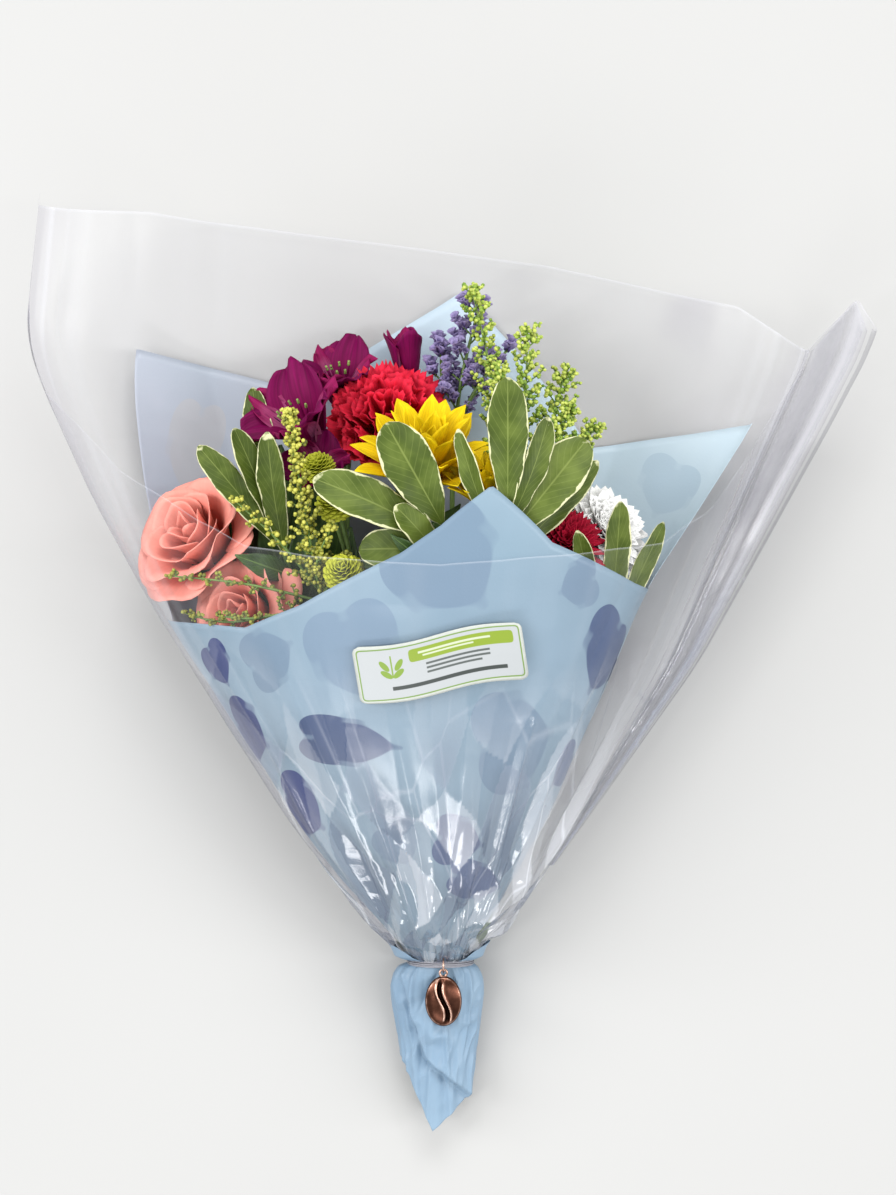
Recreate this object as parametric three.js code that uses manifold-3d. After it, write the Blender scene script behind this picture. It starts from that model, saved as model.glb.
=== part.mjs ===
// A mixed bouquet lying on its back in its wrapper: clear film outside, light-blue printed paper
// inside, the stems gathered at a tied neck and a bean charm hanging from the tie.
//
// Working frame: the neck is at x = 0, y = 0. +Y runs from the neck to the flowers, +X to the
// right of someone looking down on the bouquet, and +Z up from the surface that it lies on.
import * as THREE from 'three';
import { mergeVertices } from 'three/addons/utils/BufferGeometryUtils.js';
import { ParametricGeometry } from 'three/addons/geometries/ParametricGeometry.js';
import Module from 'manifold-3d';

const wasm = await Module();
wasm.setup();

// ---------------------------------------------------------------- driving dimensions, mm
const GAP = 0.3;                 // between pieces that touch
const FILM = 0.8;                // thickness of the film sheets, bagged and creased
const PAPER = 0.7;               // thickness of the paper sheets
const NECK_RADIUS = 14.5;        // of the gathered wrap at the tie
const NECK_HEIGHT = 17.5;        // of the neck's centre above the surface
const STEM_PITCH = 4.3;          // between the stems where the tie holds them
const STEM_RADIUS = 1.9;
const STEM_FOOT = -58;           // where the stems are cut
const RIM_ANGLE = 0.6;           // degrees kept free where a front sheet meets a back sheet

// Half-widths and heights of the wrap, as [distance from the neck, value]
const LEFT_WIDTH = [[-84, 22], [-47, 20.5], [-16, 25.5], [-8, 19], [0, NECK_RADIUS], [6, 23], [26, 47],
  [48, 69], [106, 107], [163, 137], [228, 169], [283, 194], [306, 201], [323, 202], [376, 199]];
const RIGHT_WIDTH = [[-84, 20], [-47, 19], [-14, 22.5], [-7, 18], [0, NECK_RADIUS], [4, 18], [30, 36],
  [78, 70], [148, 112], [238, 152], [300, 180], [376, 196]];
const PAPER_RIGHT_WIDTH = [[-84, 20], [0, NECK_RADIUS], [4, 17], [78, 58], [148, 88], [183, 103],
  [264, 155], [340, 190]];
const TOP_HEIGHT = [[-84, 18], [-47, 26], [-20, 29.5], [-8, 31.5], [0, 32], [6, 38], [26, 54], [48, 67],
  [106, 94], [163, 114], [230, 127], [376, 130]];
const SIDE_HEIGHT = [[-84, 7], [-47, 11], [-20, 15], [0, NECK_HEIGHT], [26, 24], [106, 30], [163, 34],
  [230, 38], [306, 40], [376, 46]];
const UNDERSIDE = [[-84, 0], [-30, 0], [-12, 3], [0, 3], [12, 2], [40, 0], [376, 0]];
const FLAT_SHARE = 0.2;          // share of the underside's curve that is pressed flat
const FOLD_ANGLE = 11.25;        // between the facets round the wrap
const SHEET_STATIONS = [4.5, 9, 16, 26, 48, 78, 106, 148, 183, 206, 230, 264, 300, 340, 376];

// ---------------------------------------------------------------- colours
function finish(color, roughness, extra = {}) {
  return new THREE.MeshStandardMaterial({ color, roughness, metalness: 0, ...extra });
}

const MATERIALS = {
  film: finish('#DDDCE4', 0.15, { transparent: true, opacity: 0.3 }),
  paper: finish('#A9C4DE', 0.55),
  label: finish('#F3F5EF', 0.4),
  tie: finish('#B9B7C0', 0.5),
  bronze: finish('#6B4234', 0.35, { metalness: 1 }),
  stem: finish('#6E8A3C', 0.6),
  leaf: finish('#7F9F63', 0.5),
  rose: finish('#F07F74', 0.6),
  carnation: finish('#D0102A', 0.6),
  mum_red: finish('#9B0022', 0.6),
  mum_yellow: finish('#F5D40E', 0.55),
  mum_white: finish('#EDEBE4', 0.6),
  alstroemeria: finish('#7A0F5C', 0.5),
  pom: finish('#C3CC1E', 0.6),
  statice: finish('#7E6BB5', 0.8),
  goldenrod: finish('#B3BF45', 0.8),
};

// ---------------------------------------------------------------- making closed solids

// Straight-line reading of a [place, value] list.
function along(list, place) {
  const last = list[list.length - 1];
  if (place <= list[0][0]) return list[0][1];
  if (place >= last[0]) return last[1];
  const next = list.findIndex(([at]) => at > place);
  const [from, low] = list[next - 1];
  const [to, high] = list[next];
  return low + (high - low) * (place - from) / (to - from);
}

// Six times the volume under a closed mesh: negative where its faces point inwards.
function signedVolume(geometry) {
  const { position } = geometry.attributes;
  const corners = [0, 1, 2].map(() => new THREE.Vector3());
  let sum = 0;
  for (let i = 0; i < geometry.index.count; i += 3) {
    corners.forEach((corner, k) => corner.fromBufferAttribute(position, geometry.index.getX(i + k)));
    sum += corners[0].dot(corners[1].clone().cross(corners[2]));
  }
  return sum;
}

// Merges a surface's shared points, drops triangles that have closed up, and faces it outwards.
function closed(surface) {
  const bare = surface.index ? surface : mergeVertices(surface);
  bare.deleteAttribute('normal');
  bare.deleteAttribute('uv');
  const merged = mergeVertices(bare, 1e-3);
  const kept = [];
  for (let i = 0; i < merged.index.count; i += 3) {
    const [a, b, c] = [0, 1, 2].map((k) => merged.index.getX(i + k));
    if (a !== b && b !== c && c !== a) kept.push(a, b, c);
  }
  merged.setIndex(kept);
  if (signedVolume(merged) < 0) merged.setIndex(kept.reverse());
  merged.computeVertexNormals();
  return merged;
}

function toManifold(geometry) {
  return new wasm.Manifold(new wasm.Mesh({
    numProp: 3,
    vertProperties: new Float32Array(geometry.attributes.position.array),
    triVerts: new Uint32Array(geometry.index.array),
  }));
}

function fromManifold(body) {
  const mesh = body.getMesh();
  const geometry = new THREE.BufferGeometry();
  geometry.setAttribute('position', new THREE.BufferAttribute(new Float32Array(mesh.vertProperties), 3));
  geometry.setIndex([...mesh.triVerts]);
  geometry.computeVertexNormals();
  return geometry;
}

// Several closed geometries joined into one solid.
function joined(geometries) {
  return fromManifold(geometries.map(toManifold).reduce((sum, next) => sum.add(next)));
}

// One geometry with others cut out of it.
function carved(geometry, tools) {
  return fromManifold(tools.map(toManifold).reduce((rest, tool) => rest.subtract(tool), toManifold(geometry)));
}

const vec = (list) => new THREE.Vector3(...list);
const degrees = (angle) => angle * Math.PI / 180;

// Turns and moves a geometry made round the Z axis so that it faces a direction.
function placed(geometry, at, facing) {
  const turn = new THREE.Quaternion().setFromUnitVectors(new THREE.Vector3(0, 0, 1), vec(facing).normalize());
  return geometry.applyQuaternion(turn).translate(at[0], at[1], at[2]);
}

// ---------------------------------------------------------------- the wrap's surface

// A point of the wrap's cross-section at distance y from the neck. The angle runs from the right
// side (0) over the top (90) and the left side (180) to the underside (270), in degrees.
function wrapPoint(y, angle, inset, rightWidth = RIGHT_WIDTH) {
  const across = Math.cos(degrees(angle));
  const up = Math.sin(degrees(angle));
  const width = along(across < 0 ? LEFT_WIDTH : rightWidth, y) - inset;
  const side = along(SIDE_HEIGHT, y);
  const low = along(UNDERSIDE, y) + inset;
  const high = along(TOP_HEIGHT, y) - inset;
  const lift = Math.max(0, 1 - FLAT_SHARE - Math.abs(up)) / (1 - FLAT_SHARE);
  const z = up >= 0 ? side + (high - side) * up : low + (side - low) * lift;
  return new THREE.Vector3(across * width, y, z);
}

// A sheet that lies on the wrap's surface between two angles, from the neck to an outline that is
// given as [cosine of the angle, y] pairs. All sheets bend at the same angles and distances, so
// that they nest.
function wrapSheet({ from, to, outline, inset, thickness, rightWidth }) {
  const folds = [...Array(360 / FOLD_ANGLE).keys()].map((i) => i * FOLD_ANGLE);
  const angles = [from, ...folds.filter((angle) => angle > from + 1 && angle < to - 1), to];
  const steps = angles.length - 1;
  const walk = 2 * steps + 2;
  const rows = SHEET_STATIONS.length - 1;
  // The walk goes along the outer face, over one rim, back along the inner face and over the other
  // rim. The first and last rows are folded shut on the sheet's middle.
  const surface = new ParametricGeometry((u, v, target) => {
    const step = Math.round(u * walk) % walk;
    const angle = step <= steps ? angles[step] : angles[walk - 1 - step];
    const row = Math.round(v * (rows + 2));
    const shut = row === 0 || row === rows + 2;
    const depth = shut ? 0.5 : Number(step > steps);
    const endY = along(outline, Math.cos(degrees(angle)));
    const y = Math.min(SHEET_STATIONS[THREE.MathUtils.clamp(row - 1, 0, rows)], endY);
    target.copy(wrapPoint(y, angle, inset + depth * thickness, rightWidth));
  }, walk, rows + 2);
  return closed(surface);
}

// A band that goes all the way round the wrap's surface between two outlines.
function wrapBand({ startOutline, endOutline, inset, thickness, steps = 24, rows = 6 }) {
  const walk = 2 * rows + 2;
  const surface = new ParametricGeometry((u, v, target) => {
    const angle = 360 * Math.round(u * steps) / steps % 360;
    const across = Math.cos(degrees(angle));
    const step = Math.round(v * walk) % walk;
    const depth = step <= rows ? 0 : 1;
    const row = depth === 0 ? step / rows : (walk - 1 - step) / rows;
    const startY = along(startOutline, across);
    const endY = along(endOutline, across);
    target.copy(wrapPoint(startY + (endY - startY) * row, angle, inset + depth * thickness));
  }, steps, walk);
  return closed(surface);
}

// ---------------------------------------------------------------- flowers, leaves and stems

// A round body of [radius, height] stations with its edge drawn into lobes.
function rosette(profile, lobes, lobeDepth, segments) {
  const lathe = new THREE.LatheGeometry(profile.map(([r, h]) => new THREE.Vector2(r, h)), segments);
  const { position } = lathe.attributes;
  for (let i = 0; i < position.count; i += 1) {
    const [x, h, z] = [position.getX(i), position.getY(i), position.getZ(i)];
    const turn = Math.round(Math.atan2(x, z) / (2 * Math.PI) * segments) / segments;
    const swell = 1 + lobeDepth * Math.cos(2 * Math.PI * lobes * turn);
    position.setXYZ(i, x * swell, -z * swell, h);
  }
  return closed(lathe);
}

// Profiles of the heads for a radius of 1: the foot of the calyx comes first.
const HEADS = {
  rose: { foot: -0.85, profile: [[0.14, -0.83], [0.3, -0.62], [0.72, -0.5], [0.95, -0.1], [1, 0.18], [0.62, 0.42]],
    top: 0.5, lobes: 5, depth: 0.05, segments: 20 },
  carnation: { foot: -1, profile: [[0.16, -0.96], [0.22, -0.45], [0.7, -0.2], [1, 0], [0.9, 0.2], [0.5, 0.42]],
    top: 0.5, lobes: 10, depth: 0.05, segments: 20 },
  mum: { foot: -0.5, profile: [[0.18, -0.48], [0.3, -0.28], [0.8, -0.1], [1, 0], [0.8, 0.16], [0.35, 0.24]],
    top: 0.22, lobes: 12, depth: 0.06, segments: 24 },
  cup: { foot: -1, profile: [[0.2, -0.98], [0.42, -0.75], [0.85, -0.2], [1, 0.25], [0.8, 0.5], [0.4, 0.4]],
    top: 0.35, lobes: 10, depth: 0.05, segments: 20 },
  lily: { foot: -1.3, profile: [[0.12, -1.28], [0.24, -0.8], [0.6, -0.2], [1, 0.2], [0.92, 0.3], [0.4, -0.05]],
    top: -0.3, lobes: 6, depth: 0.14, segments: 18 },
  bud: { foot: -1.9, profile: [[0.3, -1.85], [0.7, -1], [1, 0], [0.9, 0.8], [0.5, 1.5]],
    top: 1.7, lobes: 3, depth: 0.05, segments: 12 },
  pom: { foot: -0.8, profile: [[0.3, -0.78], [0.8, -0.5], [1, 0], [0.78, 0.5], [0.4, 0.72]],
    top: 0.8, lobes: 6, depth: 0.03, segments: 12 },
};

function head(kind, radius) {
  const { foot, profile, top, lobes, depth, segments } = HEADS[kind];
  const stations = [[0, foot], ...profile, [0, top]].map(([r, h]) => [r * radius, h * radius]);
  return rosette(stations, lobes, depth, segments);
}

// A round tube through a list of points that all lie further and further along one way. Its rings
// are upright, square to the bouquet's length. The radii taper from the first to the last.
function tube(points, startRadius, endRadius, sides = 6) {
  const stations = [points[0], ...points, points[points.length - 1]];
  const rows = stations.length - 1;
  const surface = new ParametricGeometry((u, v, target) => {
    const row = Math.round(v * rows);
    const shut = row === 0 || row === rows;
    const share = (row - 1) / (points.length - 1);
    const radius = shut ? 0 : startRadius + (endRadius - startRadius) * share;
    const turn = 2 * Math.PI * (Math.round(u * sides) % sides) / sides;
    const [x, y, z] = stations[row];
    target.set(x + radius * Math.cos(turn), y, z + radius * Math.sin(turn));
  }, sides, rows);
  return closed(surface);
}

// A leaf blade from base to tip: obovate, cupped across and bent along its length.
function blade(base, tip, width, bend, roll = 0) {
  const length = vec(base).distanceTo(vec(tip));
  const rows = 7;
  const sides = 6;
  const half = 0.55;
  const surface = new ParametricGeometry((u, v, target) => {
    const share = Math.round(v * rows) / rows;
    const turn = 2 * Math.PI * (Math.round(u * sides) % sides) / sides;
    const wide = width / 2 * Math.pow(Math.sin(Math.PI * Math.pow(share, 1.5)), 0.75);
    const ends = share === 0 || share === 1 ? 0 : 1;
    const x = ends * wide * Math.cos(turn);
    const cup = 0.25 * x * x / width;
    target.set(x, length * share, ends * half * Math.sin(turn) + cup + bend * Math.sin(Math.PI * share));
  }, sides, rows);
  const way = vec(tip).sub(vec(base)).normalize();
  const side = new THREE.Vector3(0, 0, 1).cross(way).negate().normalize();
  const normal = side.clone().cross(way);
  const frame = new THREE.Matrix4().makeBasis(side, way, normal);
  const solid = closed(surface);
  solid.rotateY(degrees(roll)).applyMatrix4(frame).translate(...base);
  return solid;
}

// A plume of small flowers between two points, as one spindle with a lumpy outside.
function plume(from, to, radius) {
  const length = vec(from).distanceTo(vec(to));
  const swell = [0.3, 0.75, 1, 0.82, 0.9, 0.6, 0.3];
  const stations = swell.map((share, i) => [radius * share, length * (0.04 + 0.92 * i / (swell.length - 1))]);
  const spindle = rosette([[0, 0], ...stations, [0, length]], 4, 0.1, 8);
  return placed(spindle, from, vec(to).sub(vec(from)).toArray());
}

// ---------------------------------------------------------------- the assembly
const bouquet = new THREE.Group();

function add(name, material, geometry) {
  const mesh = new THREE.Mesh(geometry, MATERIALS[material]);
  mesh.name = name;
  bouquet.add(mesh);
  return mesh;
}

// Outlines as [cosine of the angle round the wrap, distance from the neck].
const FILM_BACK_EDGE = [[-1, 376], [-0.75, 371], [-0.23, 358], [0.28, 345], [0.8, 324], [1, 300]];
const FILM_FRONT_EDGE = [[-1, 283], [-0.86, 240], [-0.69, 216], [-0.57, 204], [-0.39, 199], [0, 195],
  [0.5, 201], [0.75, 206], [0.88, 224], [1, 292]];
const PAPER_FRONT_EDGE = [[-1, 168], [-0.7, 165], [-0.47, 176], [-0.12, 200], [0.18, 231], [0.45, 205],
  [0.9, 186], [1, 183]];
const PAPER_RIGHT_EDGE = [[-0.6, 250], [-0.24, 297], [0.054, 332], [0.5, 254], [1, 264]];
const PAPER_LEFT_EDGE = [[-1, 166], [-0.88, 226], [-0.77, 303], [-0.41, 285], [0, 262], [0.4, 225]];
const LAYER = FILM + 3 * GAP;     // from the film's outside to the paper's

// The real film is one sheet. Each half of it is two bodies here, which meet down the right flank.
const FLANK_ANGLE = 45;           // degrees up or down from the right edge
const FLANK_GAP = 0.5;            // degrees kept free to each side of that line

function addWrap() {
  const front = { from: RIM_ANGLE, to: 180 - RIM_ANGLE };
  const back = { from: 180 + RIM_ANGLE, to: 360 - RIM_ANGLE };
  const filmBack = { ...back, outline: FILM_BACK_EDGE, inset: 0, thickness: FILM };
  const filmFront = { ...front, outline: FILM_FRONT_EDGE, inset: 0, thickness: FILM };
  add('film_back', 'film', wrapSheet({ ...filmBack, to: 360 - FLANK_ANGLE - FLANK_GAP }));
  add('film_back_right', 'film', wrapSheet({ ...filmBack, from: 360 - FLANK_ANGLE + FLANK_GAP }));
  add('film_front', 'film', wrapSheet({ ...filmFront, from: FLANK_ANGLE + FLANK_GAP }));
  add('film_front_right', 'film', wrapSheet({ ...filmFront, to: FLANK_ANGLE - FLANK_GAP }));
  const paper = { thickness: PAPER, rightWidth: PAPER_RIGHT_WIDTH };
  add('paper_front', 'paper', wrapSheet({ ...front, ...paper, outline: PAPER_FRONT_EDGE, inset: LAYER }));
  add('paper_back_right', 'paper',
    wrapSheet({ ...back, ...paper, from: 235, outline: PAPER_RIGHT_EDGE, inset: LAYER }));
  add('paper_back_left', 'paper',
    wrapSheet({ ...back, ...paper, to: 300, outline: PAPER_LEFT_EDGE, inset: LAYER + PAPER + 2 * GAP }));
}

// The film's two side edges are rolled together down the right side: a flattened tube, open at its
// top end, that narrows towards the neck.
const ROLL = { from: 48, to: 300, startWidth: 4, endWidth: 33, startHeight: 3, endHeight: 11 };
const ROLL_PEAK = 10;            // how much the rolled end's inner side rises above its middle

function addRoll() {
  const stations = SHEET_STATIONS.filter((y) => y >= ROLL.from && y <= ROLL.to);
  const steps = 12;
  const rows = stations.length;
  const walk = 2 * rows + 2;
  const surface = new ParametricGeometry((u, v, target) => {
    const turn = 2 * Math.PI * (Math.round(u * steps) % steps) / steps;
    const step = Math.round(v * walk) % walk;
    const wall = step <= rows ? 0 : FILM;
    const row = step <= rows ? step : walk - 1 - step;
    const y = stations[Math.min(row, rows - 1)];
    const share = (y - ROLL.from) / (ROLL.to - ROLL.from);
    const halfWide = THREE.MathUtils.lerp(ROLL.startWidth, ROLL.endWidth, share) / 2;
    const halfHigh = THREE.MathUtils.lerp(ROLL.startHeight, ROLL.endHeight, share) / 2;
    const peak = row === rows ? ROLL_PEAK * (1 - Math.cos(turn)) : 0;
    const x = along(RIGHT_WIDTH, y + peak) + GAP + halfWide + (halfWide - wall) * Math.cos(turn);
    target.set(x, y + peak, along(SIDE_HEIGHT, y) + (halfHigh - wall) * Math.sin(turn));
  }, steps, walk);
  add('film_roll', 'film', closed(surface));
}

// Below the tie the paper flares into a tail round the cut stems, with two pointed corners.
const TAIL_END = [[-1, -47], [-0.2, -84], [0.4, -73], [0.8, -67], [1, -50]];
const TIE_HALF_WIDTH = 1;
const TIE_THICKNESS = 1.6;

function addNeck() {
  const tailTop = [[-1, -0.6], [1, -0.6]];
  add('paper_tail', 'paper',
    wrapBand({ startOutline: tailTop, endOutline: TAIL_END, inset: LAYER, thickness: PAPER, rows: 7 }));
  const below = [[-1, -TIE_HALF_WIDTH], [1, -TIE_HALF_WIDTH]];
  const above = [[-1, TIE_HALF_WIDTH], [1, TIE_HALF_WIDTH]];
  add('neck_tie', 'tie', wrapBand({
    startOutline: below, endOutline: above, inset: -TIE_THICKNESS, thickness: TIE_THICKNESS, rows: 1 }));
}

// A sticker on the front film, a little turned, that follows the film's curve.
const LABEL = { x: 0, y: 149, width: 79, height: 27, turn: 9, thickness: 0.4, lift: 0.6 };

function addLabel() {
  const steps = 10;
  const rows = 3;
  const walk = 2 * steps + 2;
  const turn = degrees(LABEL.turn);
  const onFilm = (across, rise, depth) => {
    const [u, v] = [(across - 0.5) * LABEL.width, (rise - 0.5) * LABEL.height];
    const x = LABEL.x + u * Math.cos(turn) - v * Math.sin(turn);
    const y = LABEL.y + u * Math.sin(turn) + v * Math.cos(turn);
    const width = along(x < 0 ? LEFT_WIDTH : RIGHT_WIDTH, y);
    const angle = THREE.MathUtils.radToDeg(Math.acos(x / width));
    const point = wrapPoint(y, angle, 0);
    return point.setX(x).setZ(point.z + LABEL.lift + depth * LABEL.thickness);
  };
  const surface = new ParametricGeometry((u, v, target) => {
    const step = Math.round(u * walk) % walk;
    const [across, depth] = step <= steps ? [step / steps, 1] : [(walk - 1 - step) / steps, 0];
    const row = Math.round(v * (rows + 2));
    const ends = row === 0 || row === rows + 2;
    const rise = THREE.MathUtils.clamp((row - 1) / rows, 0, 1);
    target.copy(onFilm(across, rise, ends ? 0.5 : depth));
  }, walk, rows + 2);
  add('label', 'label', closed(surface));
}

// The charm: a bean with an S-shaped groove and an eye at its top. A jump ring goes round the tie
// and through the eye, and the bean lies on the tail.
const CHARM = { x: 1, length: 25, width: 18, depth: 7 };
const EYE = { radius: 2.5, wire: 0.75 };
const LINK = { radius: 3.4, wire: 0.45 };

function addCharm() {
  const linkBottom = along(TOP_HEIGHT, 0) - GAP - LINK.wire;
  const link = closed(new THREE.TorusGeometry(LINK.radius, LINK.wire, 6, 14));
  link.rotateY(Math.PI / 2).translate(CHARM.x, 0, linkBottom + LINK.radius);
  add('jump_ring', 'bronze', link);

  const bean = closed(new THREE.SphereGeometry(0.5, 20, 12));
  bean.scale(CHARM.width, CHARM.length, CHARM.depth);
  const grooveLine = new THREE.CatmullRomCurve3([[0.6, 0.56], [-0.8, 0.28], [0, 0], [0.8, -0.28], [-0.6, -0.56]]
    .map(([x, y]) => new THREE.Vector3(x * 2.4, y * CHARM.length, CHARM.depth * 0.5)));
  const circle = new THREE.Shape().absarc(0, 0, 1.5, 0, 2 * Math.PI);
  const groove = closed(new THREE.ExtrudeGeometry(circle,
    { steps: 10, curveSegments: 8, extrudePath: grooveLine, bevelEnabled: false }));
  const eye = closed(new THREE.TorusGeometry(EYE.radius, EYE.wire, 6, 14));
  const reach = CHARM.length / 2 + EYE.radius - EYE.wire * 0.4;
  eye.translate(0, reach, 0);
  const charm = joined([carved(bean, [groove]), eye]);
  // The eye hangs on the ring's near side, and the bean's belly rests on the tail.
  const y = -LINK.radius - reach;
  const z = along(TOP_HEIGHT, y) - LAYER + GAP + CHARM.depth / 2;
  const tilt = Math.asin((linkBottom + LINK.radius - z) / reach);
  charm.rotateX(tilt).translate(CHARM.x, y, z);
  add('bean_charm', 'bronze', charm);
}

// The stems' places in the tie: five rows of a hexagonal pack round the neck's centre.
function slot(column, row) {
  return [column * STEM_PITCH, 0, NECK_HEIGHT + (row - 0.5) * STEM_PITCH * 0.866];
}

// A stem's points from its cut foot through the tie to its end.
function stemRoute([x, , z], end) {
  const foot = [x * 1.25, STEM_FOOT, 12.5 + (z - NECK_HEIGHT) * 0.85];
  const knee = [x * 1.02, -8, z - 0.6];
  const halfway = [(x + end[0]) / 2, end[1] / 2, (z + end[2]) / 2];
  return [foot, knee, [x, 3, z], halfway, end];
}

// Each flower: where the middle of its rim is, the way it faces, its radius and its stem's slot.
const FLOWERS = [
  { name: 'rose_coral_1', kind: 'rose', skin: 'rose',
    at: [-120, 211, 42], face: [-0.45, 0.5, 0.74], radius: 27, slot: [-1.5, -1] },
  { name: 'rose_coral_2', kind: 'rose', skin: 'rose',
    at: [-93, 163, 60], face: [-0.3, 0.3, 0.9], radius: 26, slot: [-2, 0] },
  { name: 'carnation_red', kind: 'carnation', skin: 'carnation',
    at: [-26, 272, 44], face: [-0.1, 0.5, 0.86], radius: 28, slot: [0, 0] },
  { name: 'mum_yellow_1', kind: 'mum', skin: 'mum_yellow',
    at: [-6, 240, 80], face: [-0.1, 0.3, 0.95], radius: 34, slot: [-0.5, 1] },
  { name: 'mum_yellow_2', kind: 'cup', skin: 'mum_yellow',
    at: [24, 230, 99], face: [0.15, 0.8, 0.35], radius: 10, slot: [0.5, 1] },
  { name: 'mum_white', kind: 'mum', skin: 'mum_white',
    at: [76, 208, 46], face: [0.45, 0.45, 0.77], radius: 25, slot: [1.5, -1] },
  { name: 'mum_red', kind: 'mum', skin: 'mum_red',
    at: [61, 207, 77], face: [0.3, 0.5, 0.8], radius: 20, slot: [1.5, 1] },
];

function addFlowers() {
  for (const { name, kind, skin, at, face, radius, slot: place } of FLOWERS) {
    add(name, skin, placed(head(kind, radius), at, face));
    const way = vec(face).normalize();
    const foot = vec(at).addScaledVector(way, HEADS[kind].foot * radius - 2.4 * GAP);
    const lead = foot.clone().addScaledVector(way, -6);
    const route = stemRoute(slot(...place), lead.toArray());
    add(`${name}_stem`, 'stem', tube([...route, foot.toArray()], STEM_RADIUS, 1));
  }
}

// Branching stems: one main stem to a fork, and from it a short stalk to each head.
const SPRAYS = [
  { name: 'alstroemeria', skin: 'alstroemeria', kind: 'lily', slot: [-0.5, -1], fork: [-46, 205, 36], heads: [
    { at: [-73, 272, 64], face: [-0.4, 0.6, 0.6], radius: 19 },
    { at: [-52, 296, 24], face: [-0.1, 0.9, 0.3], radius: 13 },
    { at: [-62, 243, 62], face: [-0.1, 0.5, 0.85], radius: 10 },
    { at: [-18, 299, 24], face: [0.1, 0.9, 0.2], radius: 8,
      kind: 'bud', by: [-42, 270, 22] }] },
  { name: 'button_pom', skin: 'pom', kind: 'pom', slot: [-1, 2], fork: [-34, 165, 78], heads: [
    { at: [-49, 224, 84], face: [-0.2, 0.7, 0.6], radius: 8.5 },
    { at: [-58, 241, 76], face: [-0.3, 0.8, 0.4], radius: 7 },
    { at: [-45, 191, 98], face: [-0.2, 0.5, 0.8], radius: 8 }] },
];

function addSprays() {
  for (const { name, skin, kind, slot: place, fork, heads } of SPRAYS) {
    const stalks = [tube(stemRoute(slot(...place), fork), STEM_RADIUS, 1.7)];
    heads.forEach((bloom, i) => {
      const shape = bloom.kind ?? kind;
      add(`${name}_${shape}_${i + 1}`, skin, placed(head(shape, bloom.radius), bloom.at, bloom.face));
      const way = vec(bloom.face).normalize();
      const foot = vec(bloom.at).addScaledVector(way, HEADS[shape].foot * bloom.radius - GAP - 0.3);
      const inFork = [fork[0], fork[1] - 3, fork[2]];
      stalks.push(tube([inFork, ...(bloom.by ? [bloom.by] : []), foot.toArray()], 1.3, 0.9));
    });
    add(`${name}_stem`, 'stem', joined(stalks));
  }
}

// Sprigs whose stem and small flowers are one growth.
const SPRIGS = [
  { name: 'statice', skin: 'statice', slot: [0.5, -1], end: [6, 255, 30],
    plumes: [[[6, 252, 30], [18, 321, 38], 13], [[6, 250, 30], [1, 303, 24], 7]] },
  { name: 'goldenrod_right', skin: 'goldenrod', slot: [1, 0], end: [38, 215, 52],
    plumes: [[[38, 213, 52], [20, 330, 52], 10], [[38, 213, 52], [59, 288, 44], 13],
      [[38, 213, 52], [71, 258, 62], 7], [[38, 213, 52], [40, 300, 60], 10]] },
  { name: 'goldenrod_left', skin: 'goldenrod', slot: [-1.5, 1], end: [-58, 180, 84],
    plumes: [[[-58, 178, 84], [-71, 265, 90], 6], [[-59, 190, 85], [-97, 224, 76], 6],
      [[-58, 178, 84], [-128, 192, 68], 5], [[-57, 177, 84], [-70, 140, 88], 4]] },
];

function addSprigs() {
  for (const { name, skin, slot: place, end, plumes } of SPRIGS) {
    const stem = tube(stemRoute(slot(...place), end), STEM_RADIUS, 1.6);
    add(name, skin, joined([stem, ...plumes.map(([from, to, radius]) => plume(from, to, radius))]));
  }
}

// Variegated leaves on woody twigs. Each leaf: tip, width, bend and roll. They leave the twig one
// after another, a few millimetres apart, starting at the twig's end.
const TWIGS = [
  { name: 'twig_centre', slot: [0, 2], end: [2, 212, 108], leaves: [
    { tip: [-25, 260, 117], width: 18, bend: 3, roll: 0 },
    { tip: [-59, 235, 104], width: 17, bend: 4, roll: 15 },
    { tip: [-38, 202, 102], width: 15, bend: 3, roll: 10 },
    { tip: [-21, 222, 116], width: 11, bend: 2, roll: 20 }] },
  { name: 'twig_right', slot: [1, 2], end: [31, 216, 110], leaves: [
    { tip: [31, 281, 118], width: 17, bend: 3, roll: 0 },
    { tip: [50, 263, 113], width: 9, bend: 3, roll: 25 },
    { tip: [68, 253, 98], width: 19, bend: 3, roll: 0 },
    { tip: [8, 257, 122], width: 8, bend: 2, roll: -30 },
    { tip: [74, 244, 88], width: 12, bend: 2, roll: 20 }] },
  { name: 'twig_left', slot: [-1, 0], end: [-80, 214, 64], leaves: [
    { tip: [-91, 281, 50], width: 12, bend: 2, roll: 0 },
    { tip: [-98, 260, 76], width: 11, bend: 2, roll: 20 },
    { tip: [-116, 252, 66], width: 13, bend: 3, roll: 10 },
    { tip: [-82, 258, 80], width: 13, bend: 3, roll: -15 }] },
  { name: 'twig_low_right', slot: [2, 0], end: [80, 160, 62], leaves: [
    { tip: [85, 225, 90], width: 12, bend: 2, roll: 0 },
    { tip: [64, 211, 98], width: 10, bend: 2, roll: 0 },
    { tip: [108, 216, 48], width: 9, bend: 1, roll: 10 }] },
];
const LEAF_SPACING = 6;

function addTwigs() {
  for (const { name, slot: place, end, leaves } of TWIGS) {
    const route = stemRoute(slot(...place), end);
    add(`${name}_stem`, 'stem', tube(route, STEM_RADIUS, 1.4));
    const way = vec(end).sub(vec(route[3])).normalize();
    leaves.forEach(({ tip, width, bend, roll }, i) => {
      const node = vec(end).addScaledVector(way, -LEAF_SPACING * i);
      const out = vec(tip).sub(node);
      if (i > 0) out.addScaledVector(way, -out.dot(way));
      const clear = i > 0 ? STEM_RADIUS + GAP : 2 * GAP;
      const base = node.addScaledVector(out.normalize(), clear);
      add(`${name}_leaf_${i + 1}`, 'leaf', blade(base.toArray(), tip, width, bend, roll));
    });
  }
}

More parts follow.
